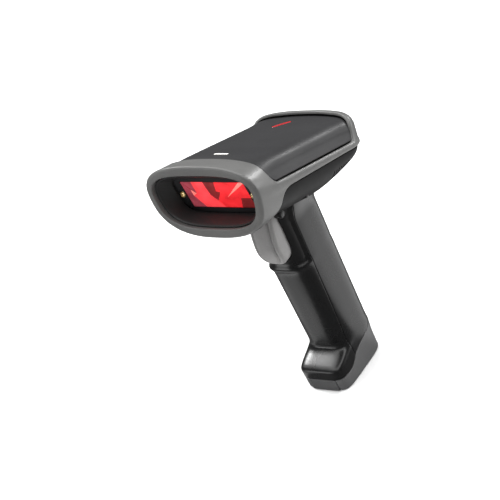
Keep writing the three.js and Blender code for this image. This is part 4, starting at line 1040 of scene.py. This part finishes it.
def build_trigger():
    """Trigger: an oval pad in a raised rim, hollow behind, on its pin."""
    low = TRIGGER_LOW - TRIGGER_PIVOT[1]
    front_line = outline(
        (-1, low), [(-6.8, low + 0.2), (-8.8, low + 6)], [(-10.6, low + 10.5), (-10, low + 15)],
        [(-9.2, low + 24), (-5.6, 1.2)], [(-3.6, 2.6), (0, 2.6)])
    half = TRIGGER_HALF_WIDTH
    polygon = trigger_face(2.1)
    pad = np.stack([polygon[:, 0] * 0.70, (polygon[:, 1] - low / 2) * 0.86 + low / 2], 1)

    def front(flat, distance, drop):
        y = np.interp(flat[:, 1], front_line[:, 1], front_line[:, 0])
        crown = 1.5 * (flat[:, 0] / half) ** 2
        to_pad = inside_distance(flat, pad)
        groove = 0.7 * np.exp(-((to_pad / 0.42) ** 2))
        rise = -0.35 * ramp(to_pad, 0.2, 1.4)
        return np.column_stack([flat[:, 0], y + crown + groove + rise + drop, flat[:, 1]])

    def back(flat):
        y = np.interp(flat[:, 1], (low, low + 2, -4, -0.4, 2.6), (1.0, 1.2, 2.2, 2.6, 1.2))
        return np.column_stack([flat[:, 0], y, flat[:, 1]])

    place = Matrix.Translation((0, *TRIGGER_PIVOT))
    piece = make("trigger_lever", plate(polygon, front, back, 1.3, 0.35), place, sharp=50)
    carve(piece, make("hollow", block((-6.4, -6.2, low + 4.5), (6.4, 20, -4.5)), place), sharp=50)
    web = block((-2.2, -7.5, -14.4), (2.2, -1.2, -9.6))
    carve(piece, make("web", web, place), "UNION", sharp=50)
    carve(piece, make("bore", rod((-20, 0, 0), (20, 0, 0), 1.56), place), sharp=50)
    finish_piece(piece, "trigger", "trigger_grey", "trigger")


# ---------------------------------------------------------------- screws
def screw(name, seat, direction, place, head, shank, length, slot):
    """Pan-head screw with a cross recess. seat is under its head."""
    radius, height = head
    crown = [(0, -height), (radius * 0.55, -height * 0.98), (radius * 0.85, -height * 0.8)]
    rim = [(radius, -height * 0.4), (radius, 0)]
    profile = [*crown, *rim, (shank, 0), (shank, length - shank), (0, length)]
    matrix = place @ aimed(seat, direction)
    piece = make(name, turned(profile), matrix)
    wide, deep = radius * 0.16, height * 0.55
    cross = [block((-radius * 0.62, -wide, -height - 1), (radius * 0.62, wide, -height + deep)),
             block((-wide, -radius * 0.62, -height - 1), (wide, radius * 0.62, -height + deep))]
    for arm in cross:
        carve(piece, make("arm", arm, matrix))
    return finish_piece(piece, HOUSING, slot, name.replace("_fastener", ""))


def build_screws():
    """All visible screws. Each kind is its head's radius and height."""
    case, base, engine = (2.2, 1.6), (2.1, 1.5), (2.0, 1.3)
    up, down, rearward, forward = (0, 0, 1), (0, 0, -1), (0, 1, 0), (0, -1, 0)
    for k, (x, y) in enumerate(COVER_SCREWS):
        screw(f"cover_screw_{k + 1}_fastener", (x, y, 1.2), up, HEAD_FRAME, case, 1, 10, "steel")
    for side, name in ((1, "left"), (-1, "right")):
        seat = (side * 23.2, -41.7, 2.6)
        screw(f"engine_screw_{name}_fastener", seat, rearward, HEAD_FRAME, engine, 0.6, 8, "brass")
        seat = (side * 11.5, 10, -11.2)
        screw(f"neck_screw_{name}_fastener", seat, down, HEAD_FRAME, case, 1, 9, "steel")
        seat = (side * BASE_SCREWS[0], BASE_SCREWS[1], 2.1)
        screw(f"base_screw_{name}_fastener", seat, up, ROW_FRAME, base, 1, 14, "steel")
    screw("grip_screw_fastener", (0, 13.7, GRIP_SCREW_Z), forward, ROW_FRAME, case, 1, 21, "steel")


# ---------------------------------------------------------------- carried-over CAD nodes
def dress_cad_nodes():
    """Gives every CAD node the finish of its slot."""
    slots = {part["node"]: part["material_slot"] for part in frame["record"]["subparts"]}
    for name, node in frame["nodes"].items():
        node.data.materials.clear()
        node.data.materials.append(finish(slots[name]))


# ---------------------------------------------------------------- studio
def floor_material():
    n = Nodes("pale_floor")
    cloud = n.noise(6, 3)
    n.link(n.mix(n.span(cloud, 0, 1), (0.90, 0.90, 0.90), (0.93, 0.93, 0.93)), n.shader.inputs["Base Color"])
    n.link(n.span(cloud, 0.85, 0.95), n.shader.inputs["Roughness"])
    n.bump([(n.noise(300), 0.00002)])
    n.set(Specular_IOR_Level=0.0)
    return n.material


def build_floor():
    """Wide pale floor that no piece reflects, so that the dark handle stays dark."""
    mesh = bpy.data.meshes.new("studio_floor")
    size = 6
    corners = [(-size, -size, 0), (size, -size, 0), (size, size, 0), (-size, size, 0)]
    mesh.from_pydata(corners, [], [[0, 1, 2, 3]])
    floor = bpy.data.objects.new("studio_floor", mesh)
    bpy.context.scene.collection.objects.link(floor)
    mesh.materials.append(floor_material())
    floor.visible_glossy = False


def panel(name, place, aim, size, power, card=False):
    """Rectangular lamp. A card is seen only in reflections."""
    light = bpy.data.lights.new(name, "AREA")
    light.shape = "RECTANGLE"
    light.size, light.size_y = size
    light.energy = power
    lamp = bpy.data.objects.new(name, light)
    lamp.location = place
    lamp.rotation_euler = (Vector(aim) - Vector(place)).to_track_quat("-Z", "Y").to_euler()
    lamp.visible_camera = not card
    lamp.visible_diffuse = not card
    bpy.context.scene.collection.objects.link(lamp)


def build_lights():
    centre = (0, 0, 0.09)
    panel("overhead", (0, 0.1, 1.6), (0, 0, 0), (2.1, 2.1), 62)
    panel("key_left", (-0.85, 0.1, 0.88), centre, (0.16, 0.16), 8)
    panel("rear_spot", (0.2, 1.1, 0.5), centre, (0.12, 0.12), 9, card=True)
    panel("right_rear", (0.75, 0.75, 0.25), centre, (0.5, 0.5), 7)
    panel("left_front", (-0.6, -0.85, 0.22), centre, (0.4, 0.4), 2.5)
    panel("low_right", (0.118, 0.118, 0.002), (0.118, 0.118, 1), (0.2, 0.2), 0.21, card=True)
    panel("low_front", (-0.062, -0.068, 0.002), (-0.062, -0.068, 1), (0.09, 0.09), 0.027, card=True)
    world = bpy.data.worlds.new("studio")
    world.use_nodes = True
    background = world.node_tree.nodes["Background"]
    background.inputs["Color"].default_value = (1, 1, 1, 1)
    background.inputs["Strength"].default_value = 0.25
    bpy.context.scene.world = world


def build_camera():
    """The photo's viewpoint, fitted to the object's outline."""
    camera = bpy.data.cameras.new("camera")
    camera.lens = 135.58
    camera.sensor_width = 36
    camera.clip_end = 20
    right = Vector((0.78470, 0.50260, -0.36282))
    up = Vector((-0.03019, 0.61560, 0.78748))
    back = Vector((0.61914, -0.60699, 0.49824))
    item = bpy.data.objects.new("camera", camera)
    axes = Matrix((right, up, back)).transposed().to_4x4()
    item.matrix_world = Matrix.Translation((0.60746, -0.63039, 0.59397)) @ axes
    bpy.context.scene.collection.objects.link(item)
    bpy.context.scene.camera = item


build_camera()
dress_cad_nodes()
build_cover()
build_bumper()
build_lower()
build_hood()
build_window()
build_grip()
build_cap()
build_flap()
build_trigger()
build_screws()
build_floor()
build_lights()
bpy.context.scene.view_settings.view_transform = "Standard"
